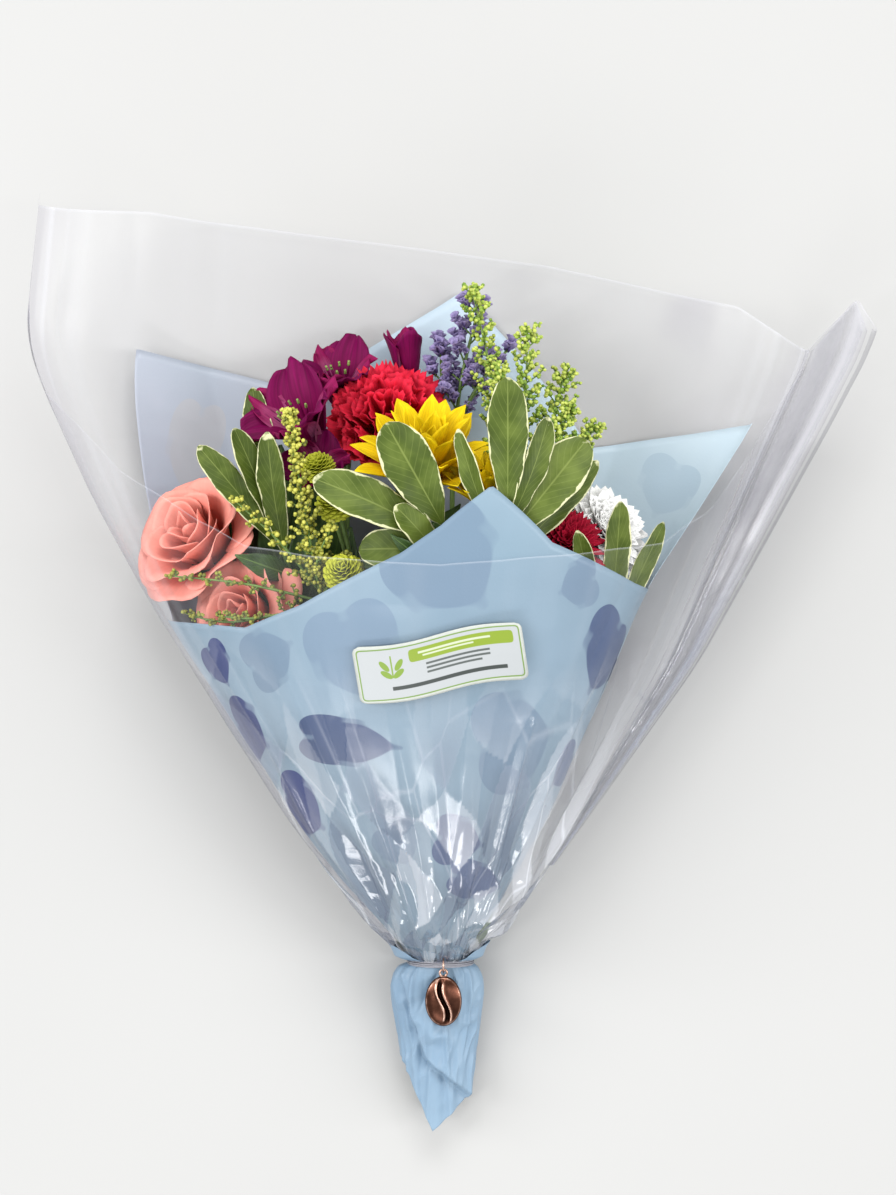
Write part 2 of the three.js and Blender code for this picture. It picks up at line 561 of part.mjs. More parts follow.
addWrap();
addRoll();
addNeck();
addLabel();
addCharm();
addFlowers();
addSprays();
addSprigs();
addTwigs();

// The part's origin is under the middle of its box, on the surface that it lies on.
const extent = new THREE.Box3().setFromObject(bouquet);
const centre = extent.getCenter(new THREE.Vector3());
bouquet.position.set(-centre.x, -centre.y, -extent.min.z);

const part = new THREE.Group();
part.add(bouquet);
export default part;
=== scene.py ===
# %% [markdown]
# # A mixed flower bouquet in its wrapper
#
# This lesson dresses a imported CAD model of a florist's bouquet. The CAD bodies say where every stem, head,
# leaf and sheet lies. Here each plain body gives way to a piece with the petals, folds, print and shine of
# the real one. Every size is in millimetres from the tie at the neck, and one matrix turns that into metres
# in the frame.

# %% Load the frame
import math
import random
from functools import partial

import bmesh
import bpy
import numpy as np
from mathutils import Matrix, Vector, noise


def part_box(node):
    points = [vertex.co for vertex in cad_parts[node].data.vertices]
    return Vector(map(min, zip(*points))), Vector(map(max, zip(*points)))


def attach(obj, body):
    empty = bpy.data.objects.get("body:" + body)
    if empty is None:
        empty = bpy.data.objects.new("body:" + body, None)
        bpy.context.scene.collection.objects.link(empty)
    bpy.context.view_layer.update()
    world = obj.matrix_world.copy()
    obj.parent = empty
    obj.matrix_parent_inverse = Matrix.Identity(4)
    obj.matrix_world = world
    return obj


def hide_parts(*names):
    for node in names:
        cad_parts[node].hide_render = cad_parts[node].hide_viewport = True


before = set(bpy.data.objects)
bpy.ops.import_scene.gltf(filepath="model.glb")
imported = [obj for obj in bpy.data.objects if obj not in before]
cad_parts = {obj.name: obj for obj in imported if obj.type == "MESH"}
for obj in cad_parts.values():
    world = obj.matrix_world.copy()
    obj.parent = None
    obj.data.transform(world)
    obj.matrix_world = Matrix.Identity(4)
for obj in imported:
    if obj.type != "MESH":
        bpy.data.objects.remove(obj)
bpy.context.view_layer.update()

neck_low, neck_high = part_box("neck_tie")
NECK = (Vector(neck_low) + Vector(neck_high)) / 2
TO_ROW = Matrix.Translation((NECK.x, NECK.y, 0)) @ Matrix.Scale(0.001, 4)
print("the tie is at", [round(value, 4) for value in NECK])

# %% [markdown]
# ## Camera, floor and light
#
# A cut bunch with no vase lies on its back, so the camera looks straight down on it, with the stems towards
# the bottom of the picture. The floor is a plain sheet of pale paper. Clear film only shows where it
# mirrors something, so the lamps are soft boxes with darker air between them: a crease that tips towards a
# lamp turns white, and the next one stays clear.

# %% Place the camera
scene = bpy.context.scene
scene.view_settings.view_transform = "Standard"
scene.cycles.transparent_max_bounces = 28
scene.cycles.max_bounces = 5
scene.cycles.diffuse_bounces = 2
scene.cycles.glossy_bounces = 2
scene.cycles.transmission_bounces = 1
scene.cycles.caustics_reflective = False

CAMERA_HEIGHT = 1500
camera_data = bpy.data.cameras.new("camera")
camera_data.sensor_width = 36
camera_data.lens = 90.38
camera_data.clip_start = 0.01
camera = bpy.data.objects.new("camera", camera_data)
camera.location = TO_ROW @ Vector((3.5, 179.6, CAMERA_HEIGHT))
scene.collection.objects.link(camera)
scene.camera = camera
print("the camera is at", [round(value, 3) for value in camera.location])


# %% Hang the lamps
def soft_box(name, at, size, power):
    """A square lamp that looks at the middle of the flowers. at and size are in metres."""
    lamp = bpy.data.lights.new(name, "AREA")
    lamp.shape = "RECTANGLE"
    lamp.size = size[0]
    lamp.size_y = size[1]
    lamp.energy = power
    box = bpy.data.objects.new(name, lamp)
    box.location = at
    aim = Vector((0, 0.03, 0.04)) - box.location
    box.rotation_euler = aim.to_track_quat("-Z", "Y").to_euler()
    scene.collection.objects.link(box)


soft_box("far_lamp", (0.2, 2.1, 1.9), (1.8, 0.9), 38)
soft_box("left_lamp", (-1.9, 0.5, 1.5), (0.7, 1.7), 34)
soft_box("right_lamp", (1.9, -0.1, 1.2), (0.4, 1.6), 24)
soft_box("foot_lamp", (-0.5, -1.9, 1.5), (1.5, 0.4), 14)
soft_box("left_strip", (-0.85, -0.35, 1.7), (0.07, 0.8), 5)
soft_box("right_strip", (0.75, -0.15, 1.7), (0.06, 0.7), 4.5)

world = bpy.data.worlds.new("studio_air")
world.use_nodes = True
world.node_tree.nodes["Background"].inputs["Color"].default_value = (1, 1, 1, 1)
world.node_tree.nodes["Background"].inputs["Strength"].default_value = 0.62
scene.world = world

# %% [markdown]
# ## Tools for finishes
#
# A colour is written as the hex code that a swatch shows, and one function turns it into the linear light
# that the shaders work in. Another adds one node with its settings and links, so that a finish reads as a
# list of what the surface does. Sizes on the object are in metres, so a pattern's scale is one over its
# size in metres.


# %% Colours and nodes
def linear(hex_code):
    """The linear colour of an sRGB hex code such as "F07F74"."""
    shades = [int(hex_code[i:i + 2], 16) / 255 for i in (0, 2, 4)]
    light = [c / 12.92 if c <= 0.04045 else ((c + 0.055) / 1.055) ** 2.4 for c in shades]
    return (*light, 1.0)


def add_node(tree, kind, inputs=None, stops=None, **settings):
    """Adds one shader node, such as a "Math" or a "TexNoise".

    inputs are plain values, sockets to link, or nodes, whose first output is linked. stops are a colour
    ramp's places and hex codes.
    """
    made = tree.nodes.new(kind if kind.startswith("NodeGroup") else "ShaderNode" + kind)
    for name, value in settings.items():
        setattr(made, name, value)
    for name, value in (inputs or {}).items():
        source = value.outputs[0] if isinstance(value, bpy.types.Node) else value
        if isinstance(source, bpy.types.NodeSocket):
            tree.links.new(source, made.inputs[name])
        else:
            made.inputs[name].default_value = source
    if stops:
        elements = made.color_ramp.elements
        while len(elements) < len(stops):
            elements.new(0.5)
        for element, (place, colour) in zip(elements, stops):
            element.position = place
            element.color = linear(colour)
    return made


def new_material(name):
    """An empty material, and the function that adds a node to its tree."""
    material = bpy.data.materials.new(name)
    material.use_nodes = True
    material.node_tree.nodes.clear()
    return material, partial(add_node, material.node_tree)


# %% Lay the floor
def pale_floor_finish():
    """Matt background paper: bright, even, with a faint pulp mottle a few centimetres across."""
    material, add = new_material("matt_background_paper")
    place = add("TexCoord").outputs["Object"]
    mottle = add("TexNoise", {"Vector": place, "Scale": 1 / 0.6})
    shade = add("ValToRGB", {"Fac": mottle}, stops=[(0.3, "B7B7B6"), (0.7, "BBBBBA")])
    paper = add("BsdfPrincipled", {"Base Color": shade, "Roughness": 0.9, "Specular IOR Level": 0.1})
    add("OutputMaterial", {"Surface": paper})
    return material


floor_shape = bmesh.new()
bmesh.ops.create_grid(floor_shape, x_segments=1, y_segments=1, size=4)
floor_mesh = bpy.data.meshes.new("floor")
floor_shape.to_mesh(floor_mesh)
floor_shape.free()
floor_mesh.materials.append(pale_floor_finish())
floor = bpy.data.objects.new("floor", floor_mesh)
scene.collection.objects.link(floor)

# %% [markdown]
# ## The shape that everything is held by
#
# The wrap is a cone that was pressed flat where it lies: wide to the left and right, domed in front. Four
# profiles along its length give it. They follow the CAD model's to within a centimetre, and the sides
# are fitted more closely to the real outline near the tie. The CAD sheets are folded at stations; film and
# paper bend softly, so here each profile is smoothed, except right at the tie, which pulls them tight.


# %% Profiles of the wrap
def profile(stations):
    """A smooth curve through stations of (distance from the neck, value), looked up quickly."""
    places, values = zip(*stations)
    fine = np.arange(-90, 400, 0.5)
    reach = np.clip(np.abs(fine) * 0.3, 0.4, 9)
    smooth = sum(np.interp(fine + share * reach, places, values) for share in (-1, -0.4, 0.4, 1)) / 4
    smooth = smooth.tolist()

    def value_at(y):
        step = min(max((y + 90) * 2, 0), len(smooth) - 2)
        whole = int(step)
        return smooth[whole] + (smooth[whole + 1] - smooth[whole]) * (step - whole)

    return value_at


LEFT_WIDTH = profile([(-84, 22), (-47, 21), (-30, 24.5), (-16, 27), (-7, 26), (-2, 22.5), (0, 14.5),
                      (2, 19.5), (9, 22.5), (17, 30), (24, 35.5), (31, 42), (46, 55.5), (61, 67), (76, 77),
                      (105, 95.5), (149, 124), (178, 142), (228, 169), (283, 194), (306, 201), (323, 200),
                      (376, 194)])
RIGHT_WIDTH = profile([(-84, 20), (-47, 18.5), (-30, 21.5), (-14, 23), (-6, 22), (-2, 19.5), (0, 14.5),
                       (2, 17.5), (9, 20), (17, 27), (30, 39.5), (46, 50.5), (60, 59), (78, 70), (148, 112),
                       (238, 152), (300, 180), (376, 196)])
PAPER_RIGHT_WIDTH = profile([(-84, 20), (0, 14.5), (4, 17), (78, 58), (148, 88), (183, 103), (264, 155),
                             (340, 190)])
TOP_HEIGHT = profile([(-84, 18), (-47, 26), (-20, 29.5), (-8, 31.5), (0, 32), (6, 38), (26, 54), (48, 67),
                      (106, 94), (163, 114), (230, 127), (376, 130)])
SIDE_HEIGHT = profile([(-84, 7), (-47, 11), (-20, 15), (0, 17.5), (26, 24), (106, 30), (163, 34), (230, 38),
                       (306, 40), (376, 46)])
UNDERSIDE = profile([(-84, 0), (-30, 0), (-12, 3), (0, 3), (12, 2), (40, 0), (376, 0)])


def wrap_point(y, angle, inset=0.0, right_width=RIGHT_WIDTH):
    """A point of the wrap: angle 0 is its right edge, 90 degrees its front, 180 its left, 270 its back."""
    across = math.cos(angle)
    up = math.sin(angle)
    width = (LEFT_WIDTH(y) if across < 0 else right_width(y)) - inset
    side = SIDE_HEIGHT(y)
    if up >= 0:
        height = side + (TOP_HEIGHT(y) - inset - side) * up
    else:
        low = UNDERSIDE(y) + inset
        height = low + (side - low) * max(0, 0.8 + up) / 0.8
    return Vector((across * width, y, height))


def headroom(x, y):
    """How high the inside of the front paper is above a spot, in millimetres."""
    width = LEFT_WIDTH(y) if x < 0 else PAPER_RIGHT_WIDTH(y)
    across = min(abs(x) / width, 0.995)
    side = SIDE_HEIGHT(y)
    return side + (TOP_HEIGHT(y) - 4 - side) * math.sqrt(1 - across * across)


print("at 150 mm from the tie the wrap is", round(LEFT_WIDTH(150) + RIGHT_WIDTH(150)), "mm wide and",
      round(TOP_HEIGHT(150)), "mm high")

# %% [markdown]
# ## Tools for shapes
#
# Nearly everything in a bouquet is thin: petals, leaves, film, paper. Each starts as a flat grid from
# `bmesh.ops.create_grid`, and a small function then says where each spot of it goes. The grid's own place,
# from 0 to 1 each way, is kept as its UV map, so that a finish knows where the base, the tip and the edges
# are. A number called tone is stored on each point too, so that no two petals need have the same shade.


# %% Start, place and finish a shape
def new_shape():
    """An empty shape with a UV map named along and a number named tone on each point."""
    shape = bmesh.new()
    shape.loops.layers.uv.new("along")
    shape.verts.layers.float.new("tone")
    return shape


def patch(shape, columns, rows, place, tone=0.5, paint=0):
    """Adds a grid and moves each of its spots to place(u, v). tone is a number, or a function of u and v."""
    layer = shape.loops.layers.uv["along"]
    tones = shape.verts.layers.float["tone"]
    made = bmesh.ops.create_grid(shape, x_segments=columns, y_segments=rows, size=0.5)
    spots = {vert: (vert.co.x + 0.5, vert.co.y + 0.5) for vert in made["verts"]}
    for face in {face for vert in spots for face in vert.link_faces}:
        face.material_index = paint
        for loop in face.loops:
            loop[layer].uv = spots[loop.vert]
    for vert, (u, v) in spots.items():
        vert.co = place(u, v)
        vert[tones] = tone(u, v) if callable(tone) else tone
    return list(spots)


GOLDEN_ANGLE = 2.39996  # in radians: each turn by it lands in the widest gap left by those before


def smooth_line(points, share):
    """A point on the smooth curve through a list of points, share from 0 to 1 (Catmull-Rom)."""
    spans = len(points) - 1
    step = min(share * spans, spans - 1e-6)
    i = int(step)
    t = step - i
    before = points[max(i - 1, 0)]
    start = points[i]
    end = points[i + 1]
    after = points[min(i + 2, spans)]
    return 0.5 * (2 * start + (end - before) * t + (2 * before - 5 * start + 4 * end - after) * t * t
                  + (3 * start - before - 3 * end + after) * t ** 3)


def stalk(shape, points, thick, thin, sides=8, rows=24, tone=0.5, paint=0, knots=0.0):
    """Adds a closed round stalk along the smooth curve through points, with its two end rows drawn shut."""
    points = [Vector(point) for point in points]

    def place(u, v):
        share = min(max((v * rows - 1) / (rows - 2), 0), 1)
        here = smooth_line(points, share)
        ahead = smooth_line(points, min(share + 0.02, 1))
        way = (ahead - smooth_line(points, max(share - 0.02, 0))).normalized()
        side = way.orthogonal() if abs(way.z) > 0.98 else way.cross(Vector((0, 0, 1)))
        side.normalize()
        radius = thick + (thin - thick) * share
        radius *= 1 + knots * max(0, math.cos(share * 14)) ** 8
        radius *= 0.02 if v * rows < 0.5 or v * rows > rows - 0.5 else 1
        turn = 2 * math.pi * u
        return here + (side * math.cos(turn) + side.cross(way) * math.sin(turn)) * radius

    verts = patch(shape, sides, rows, place, tone, paint)
    bmesh.ops.remove_doubles(shape, verts=verts, dist=0.005)


def stamp(shape, pattern, matrix):
    """Adds a moved copy of a small pattern mesh."""
    pattern.transform(matrix)
    shape.from_mesh(pattern)
    pattern.transform(matrix.inverted())


def facing(at, face, turn=0.0):
    """The matrix that takes a head drawn upright at the origin to its place, looking along face."""
    aim = Vector(face).to_track_quat("Z", "Y").to_matrix().to_4x4()
    return Matrix.Translation(at) @ aim @ Matrix.Rotation(turn, 4, "Z")


def new_piece(name, shape, materials, nodes, wall=0.0, thin=None):
    """Makes the finished object from a shape in millimetres.

    wall is the thickness that a sheet gets. Where only some of its finishes are on thin blades, thin lists
    their numbers.
    """
    if thin is not None:
        blades = [face for face in shape.faces if face.material_index in thin]
        bmesh.ops.solidify(shape, geom=blades, thickness=wall)
    bmesh.ops.transform(shape, matrix=TO_ROW, verts=shape.verts)
    mesh = bpy.data.meshes.new(name)
    shape.to_mesh(mesh)
    shape.free()
    for material in materials:
        mesh.materials.append(material)
    mesh.shade_smooth()
    piece = bpy.data.objects.new(name, mesh)
    scene.collection.objects.link(piece)
    if wall and thin is None:
        skin = piece.modifiers.new("wall", "SOLIDIFY")
        skin.thickness = wall / 1000
        skin.offset = 0
    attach(piece, "root")
    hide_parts(*nodes)
    print(name, "has", len(mesh.polygons), "faces")
    return piece

# %% [markdown]
# ## The clear film
#
# The outer wrap is polypropylene film, about as thick as a crisp packet. One sheet goes round the back,
# folds forward at the left edge and comes over the front, and its two side edges are rolled together on the
# right. The tie squeezes it into pleats, which fan out as sharp creases and die away towards the mouth. A
# cloth simulation would drift off the body that it must match, so the creases are drawn. Crossing zigzags
# crush the film near the tie into flat-sided facets, and ridged noise, which is folded where it crosses
# zero, adds sharp pleats. Both are stretched along the length because pleats run that way.


# %% Crease the film
FILM_BACK_EDGE = [(-1, 370), (-0.75, 371), (-0.23, 358), (0.28, 345), (0.8, 324), (1, 300)]
FILM_FRONT_EDGE = [(-1, 283), (-0.86, 240), (-0.69, 216), (-0.57, 204), (-0.39, 199), (0, 195), (0.5, 201),
                   (0.75, 206), (0.88, 224), (1, 292)]
LABEL_MIDDLE = (0, 149)
FRONT_CREASES, BACK_CREASES = 3.1, 9.4  # where in the noise each side's creases are taken from

# Long soft folds of the front: place across at the tie and at the mouth, start, end, height and half width.
LONG_FOLDS = [(-0.5, -0.62, 20, 190, 2.2, 0.07), (-0.1, -0.2, 12, 120, 2.6, 0.06),
              (0.3, 0.17, 12, 105, 3.0, 0.08), (0.45, 0.42, 15, 170, 2.8, 0.06),
              (0.62, 0.66, 25, 215, 2.6, 0.05), (0.8, 0.86, 40, 250, 2.2, 0.05),
              (0.9, 0.93, 60, 280, 2.0, 0.03), (-0.8, -0.87, 30, 230, 1.8, 0.04),
              (0.2, 0.3, 8, 80, 3.2, 0.07), (0.5, 0.55, 10, 95, 2.4, 0.05),
              (-0.3, -0.4, 10, 100, 2.2, 0.05)]


def edge_at(outline, across):
    """The outline's distance from the neck at a place across the wrap, from -1 to 1."""
    places, values = zip(*outline)
    return float(np.interp(across, places, values))


def ridge(place):
    """Noise from 0 to 1 with sharp crests."""
    return 1 - min(1, abs(noise.noise(place)) * 2.6)


def zigzag(turns):
    """A wave from 0 to 1 with straight sides and sharp corners, like a sheet folded to and fro."""
    return abs(turns % 1 * 2 - 1)


def fold_turns(angle, y, seed):
    """Three crossing zigzags: how many folds along each one a spot is, and how strong the zigzag is."""
    away = math.log(max(y, 0) + 14)
    drift = noise.noise(Vector((angle * 1.3, away * 1.1, seed)))
    wander = noise.noise(Vector((angle * 1.1, away * 1.6, seed + 13)))
    return [(angle * 1.1 + away * 0.8 + drift * 0.8, 1), (angle * 1.5 - away * 0.9 + wander * 0.9, 0.8),
            (angle * 3.3 + away * 0.5 + drift * 1.3 + 0.3, 0.45)]


def creases(angle, y, seed):
    """How far creases lift a sheet at this place, in millimetres."""
    away = math.log(max(y, 0) + 14)
    fade = math.exp(-(max(y, 0) / 85) ** 1.4)
    pleat = ridge(Vector((angle * 5, away * 1.1, seed + 5)))
    broad = ridge(Vector((angle * 2.3, away * 0.9, seed + 21)))
    facet = sum(weight * zigzag(turns) for turns, weight in fold_turns(angle, y, seed))
    crushed = (1.1 * pleat + 4.2 * facet * min(1, y / 25)) * fade
    return crushed + (0.6 * pleat + 0.5 * facet + 1.8 * broad) * (1 - fade)


def facet_lean(angle, y, seed):
    """A number from 0 to 1, the same all over one flat-sided facet: which way it leans."""
    leans = [weight * (1 if turns % 1 < 0.5 else -1) for turns, weight in fold_turns(angle, y, seed)]
    return 0.5 + sum(leans) / 4.5


def film_swell(angle, y):
    """How far the front film stands off its smooth shape."""
    spread = math.cos(angle)
    swell = creases(angle, y, FRONT_CREASES) * min(1, max(y, 0) / 14 + 0.25)
    swell *= 0.3 + 0.7 * min(1, abs(math.sin(angle)) * 2)
    for start, end, low, high, height, wide in LONG_FOLDS:
        share = (y - low) / (high - low)
        if 0 < share < 1:
            off = abs(spread - (start + (end - start) * share)) / wide
            if off < 1:
                swell += height * (1 - off) ** 2 * math.sin(math.pi * share) ** 0.6
    x_off = abs(spread * (LEFT_WIDTH(y) if spread < 0 else RIGHT_WIDTH(y)) - LABEL_MIDDLE[0])
    under_label = max(0, 1 - max(x_off / 52, abs(y - LABEL_MIDDLE[1]) / 28) ** 4)
    return swell * (1 - 0.9 * under_label) + 0.3 * under_label


def outward(angle, y, right_width=RIGHT_WIDTH):
    """The way out of the wrap at this place."""
    ahead = wrap_point(y, angle + 0.02, 0, right_width) - wrap_point(y, angle - 0.02, 0, right_width)
    away = wrap_point(y + 2, angle, 0, right_width) - wrap_point(y - 2, angle, 0, right_width)
    return away.cross(ahead).normalized()


def film_row(v):
    """The rows are close together near the tie, where the creases are."""
    return v ** 1.45


def film_front_spot(u, v):
    angle = math.pi * (1 - u)
    edge = edge_at(FILM_FRONT_EDGE, math.cos(angle))
    if u < 0.03:
        edge += (376 - edge) * (1 - u / 0.03) ** 1.5
    return angle, 1 + (edge - 1) * film_row(v)


def film_front_place(u, v):
    angle, y = film_front_spot(u, v)
    return wrap_point(y, angle, 0.3) + outward(angle, y) * film_swell(angle, y)


# The lean of each facet is kept as its tone; the film's finish paints light and shade from it.
def film_front_lean(u, v):
    return facet_lean(*film_front_spot(u, v), FRONT_CREASES)


def film_back_place(u, v):
    angle = math.pi * (2 - u)
    y = 1 + (edge_at(FILM_BACK_EDGE, math.cos(angle)) - 1) * film_row(v)
    rim = min(1, math.sin(math.pi * u) * 6)
    free = 1 + 2.2 * min(1, max(0, y - 250) / 60)
    lift = creases(angle, y, BACK_CREASES) * min(1, max(y, 0) / 30) * 0.3 * free * rim
    billow = 0.5 + noise.noise(Vector((u * 5, y / 90, 2)))
    lift += 5 * rim * min(1, max(0, y - 230) / 100) * billow * free / 3.2
    lift *= 0.3 + 0.7 * min(1, abs(math.sin(angle)) * 2)
    fold_line = (1 - rim) * film_swell(angle if u < 0.5 else math.pi, y)
    place = wrap_point(y, angle, 0.3) - outward(angle, y) * (lift - fold_line)
    place.z = max(place.z, 0.1)
    return place


def clear_film_finish(name, tints, glare_streak_size, glare_strength, flanks, haze_and_glint_colour):
    """Nearly clear, glossy, faintly grey-lilac polypropylene film, with painted glints, glare and shade."""
    material, add = new_material(name)
    place = add("TexCoord").outputs["Object"]
    along = add("UVMap", uv_map="along")
    # Crumples 28 mm across and crackle 12 mm across, strongest near the tie, where the row is 0.
    wander = add("TexNoise", {"Vector": place, "Scale": 1 / 0.03, "Detail": 1})
    bent = add("MixRGB", {"Fac": 0.012, "Color1": place, "Color2": wander.outputs["Color"]})
    crumple = add("TexVoronoi", {"Vector": bent, "Scale": 1 / 0.028}, feature="DISTANCE_TO_EDGE")
    crackle = add("TexVoronoi", {"Vector": bent, "Scale": 1 / 0.012}, feature="DISTANCE_TO_EDGE")
    row = add("SeparateXYZ", {"Vector": along}).outputs["Y"]
    near = add("MapRange", {"Value": row, "From Min": 0.2, "From Max": 0.62, "To Min": 1, "To Max": 0.03})
    both = add("Math", {0: crumple, 1: crackle}, operation="ADD")
    height = add("Math", {0: both, 1: near}, operation="MULTIPLY")
    drift = add("TexNoise", {"Vector": place, "Scale": 1 / 0.05, "Detail": 1})
    total = add("Math", {0: drift, 1: 0.5, 2: height}, operation="MULTIPLY_ADD")
    relief = add("Bump", {"Height": total, "Strength": 0.35, "Distance": 0.0022})
    gloss = add("MapRange", {"Value": row, "From Min": 0.3, "From Max": 0.85, "To Min": 0.1, "To Max": 0.3})
    across = add("SeparateXYZ", {"Vector": along}).outputs["X"]
    off = add("Math", {0: across, 1: 0.5}, operation="SUBTRACT")
    far = add("Math", {0: off}, operation="ABSOLUTE")
    grey = add("MapRange", {"Value": far, "From Min": 0.5, "From Max": 0.36})
    uneven = add("Math", {0: drift, 1: grey}, operation="MULTIPLY")
    tint = add("ValToRGB", {"Fac": uneven}, stops=[(0.1, tints[0]), (0.4, tints[1])])
    # Painted light and shade: low down, facets that lean towards the lamps get a painted white veil,
    # those that lean away a painted grey one, and fine lines where the film is creased are painted pale.
    # Painted streaks of glare run up the flanks.
    cell_map = add("Mapping", {"Vector": along, "Scale": (8, 3.1, 1)})
    lean = add("Attribute", attribute_name="tone").outputs["Fac"]
    lit = add("MapRange", {"Value": lean, "From Min": 0.5, "From Max": 0.95, "To Max": 0.42})
    dim = add("MapRange", {"Value": lean, "From Min": 0.5, "From Max": 0.05, "To Max": 0.5})
    facet = add("Math", {0: lit, 1: dim}, operation="ADD")
    borders = add("TexVoronoi", {"Vector": cell_map, "Scale": 1.0}, feature="DISTANCE_TO_EDGE")
    painted_crease_lines = add("MapRange", {"Value": borders, "From Min": 0.016, "From Max": 0.0, "To Max": 0.3})
    crushed = add("Math", {0: facet, 1: painted_crease_lines}, operation="ADD")
    low_down = add("MapRange", {"Value": row, "From Min": 0.42, "From Max": 0.82, "To Min": 1, "To Max": 0})
    haze_and_painted_facets = add("Math", {0: crushed, 1: low_down, 2: 0.012}, operation="MULTIPLY_ADD")
    # Painted glare: pale streaks stretched along the film.
    glare_streak_map = add("Mapping", {"Vector": along, "Scale": (*glare_streak_size, 1)})
    painted_glare_streaks = add("TexNoise", {"Vector": glare_streak_map, "Scale": 1.0, "Detail": 1})
    streak = add("MapRange", {"Value": painted_glare_streaks, "From Min": 0.5, "From Max": 0.74, "To Max": glare_strength})
    flank = add("MapRange", {"Value": far, "From Min": flanks[0], "From Max": flanks[1], "To Min": 0.08,
                             "To Max": 1})
    haze_and_painted_light = add("Math", {0: streak, 1: flank, 2: haze_and_painted_facets}, operation="MULTIPLY_ADD")
    clear = add("BsdfTransparent", {"Color": tint})
    mirror = add("BsdfGlossy", {"Roughness": gloss, "Normal": relief})
    # Painted shade: the veil on facets that lean away from the lamps is painted grey, but only low down.
    below = add("Math", {0: 0.8, 1: lean}, operation="SUBTRACT")
    dull = add("Math", {0: below, 1: low_down}, operation="MULTIPLY")
    white = add("ValToRGB", {"Fac": dull}, stops=[(0.15, haze_and_glint_colour), (0.3, "B4B8C6"), (0.7, "5E677C")])
    haze = add("BsdfDiffuse", {"Color": white})
    # The sheet mirrors alike from both sides: 2% face on, rising steeply to 60% at a glance. Low down, where
    # the facets catch the lamps, it mirrors 9% more.
    away = add("LayerWeight", {"Blend": 0.5, "Normal": relief})
    steep = add("Math", {0: away.outputs["Facing"], 1: 4.0}, operation="POWER")
    turned = add("MapRange", {"Value": steep, "To Min": 0.02, "To Max": 0.6})
    shine = add("Math", {0: low_down, 1: 0.09, 2: turned}, operation="MULTIPLY_ADD")
    # Painted highlight: a pale line all along the cut edge, as if it caught the light.
    cut = add("MapRange", {"Value": row, "From Min": 0.9965, "From Max": 0.9995, "To Max": 0.2})
    pale = add("Math", {0: haze_and_painted_light, 1: cut}, operation="ADD", use_clamp=True)
    veil = add("MixShader", {0: pale, 1: clear, 2: haze})
    film = add("MixShader", {0: shine, 1: veil, 2: mirror})
    add("OutputMaterial", {"Surface": film})
    return material


CLEAR_FILM = clear_film_finish("polypropylene_film", ("F4F3F7", "FEFEFF"), (26, 0.9), 0.5, (0.32, 0.49),
                               "DEE1E8")
# On the rolled edge the painted glare streaks run all over it.
ROLLED_FILM = clear_film_finish("rolled_polypropylene_film", ("E8E8EA", "F5F5F6"), (15, 0.3), 0.5,
                                (-0.1, 0.0), "CBCBD0")
sleeve_shape = new_shape()
patch(sleeve_shape, 280, 160, film_front_place, film_front_lean)
patch(sleeve_shape, 130, 90, film_back_place)
film_area = sum(face.calc_area() for face in sleeve_shape.faces) / 1e6
film_sleeve = new_piece("film_sleeve", sleeve_shape, [CLEAR_FILM],
                        ["film_back", "film_back_right", "film_front", "film_front_right"])
print("the sleeve takes", round(film_area, 3), "square metres of film")

# %% [markdown]
# ## The rolled edge
#
# On the right the sheet's two side edges are rolled up together like a scroll and pressed flattish. It is
# drawn as one spiral: each column of the grid goes a little further round and a little further in. The roll
# starts as a thread near the tie and is about 33 mm wide at the mouth, where it was cut on the slant.

# %% Roll the film's edge
ROLL_FROM, ROLL_TO = 48, 300
ROLL_TURNS = 2.2


def roll_place(u, v):
    turn = 2 * math.pi * ROLL_TURNS * u - 0.4
    depth = 1 - 0.42 * u
    share = v
    y = ROLL_FROM + (ROLL_TO - ROLL_FROM) * share
    half_wide = (4 + 29 * share) / 2
    half_high = (3 + 8 * share) / 2
    y += 24 * max(0, 1 - abs(math.cos(turn) - 0.25) / 1.2) * max(0, share - 0.86) / 0.14
    crease = 1 + 0.05 * noise.noise(Vector((u * 14, v * 2, 5))) - 0.13 * ridge(Vector((u * 7, v * 0.7, 8)))
    middle = RIGHT_WIDTH(y) - 3.5 * share + half_wide
    reach = (half_wide + 1.5 * share) * depth * crease
    x = middle + reach * math.cos(turn)
    rise = half_high * depth * crease * math.sin(turn)
    return Vector((x, y, SIDE_HEIGHT(y) + rise + 1.2 * ridge(Vector((v * 5, u * 2, 3))) * share))


roll_shape = new_shape()
patch(roll_shape, 90, 90, roll_place)
roll_area = sum(face.calc_area() for face in roll_shape.faces) / 1e6
print("the roll takes", round(roll_area, 4), "square metres of film")
film_rolled_edge = new_piece("film_rolled_edge", roll_shape, [ROLLED_FILM], ["film_roll"])

# %% [markdown]
# ## The printed paper
#
# Inside the film is light-blue wrapping paper. It shows as a diamond-shaped front, a left corner and a
# right one behind the flowers, and a gathered tail with two corners below the tie. Plain hearts in paler
# and darker blues are printed at all angles. A heart has a well-known formula, so the print
# is worked out in the finish: a Mapping node centres, turns and sizes each heart, and a node group says
# whether a spot is inside it. Each sheet gets a UV map in real metres, as if it were unrolled, so that the
# print bends with the paper.


# %% Unroll a sheet
def unrolled(y, angle, inset):
    """The distance round the sheet from its middle line, in metres, and the distance along it."""
    middle = math.pi / 2 if math.sin(angle) >= 0 else 1.5 * math.pi
    steps = [wrap_point(y, middle + (angle - middle) * i / 10, inset, PAPER_RIGHT_WIDTH) for i in range(11)]
    length = sum((b - a).length for a, b in zip(steps, steps[1:]))
    return math.copysign(length, math.cos(angle)) / 1000, y / 1000


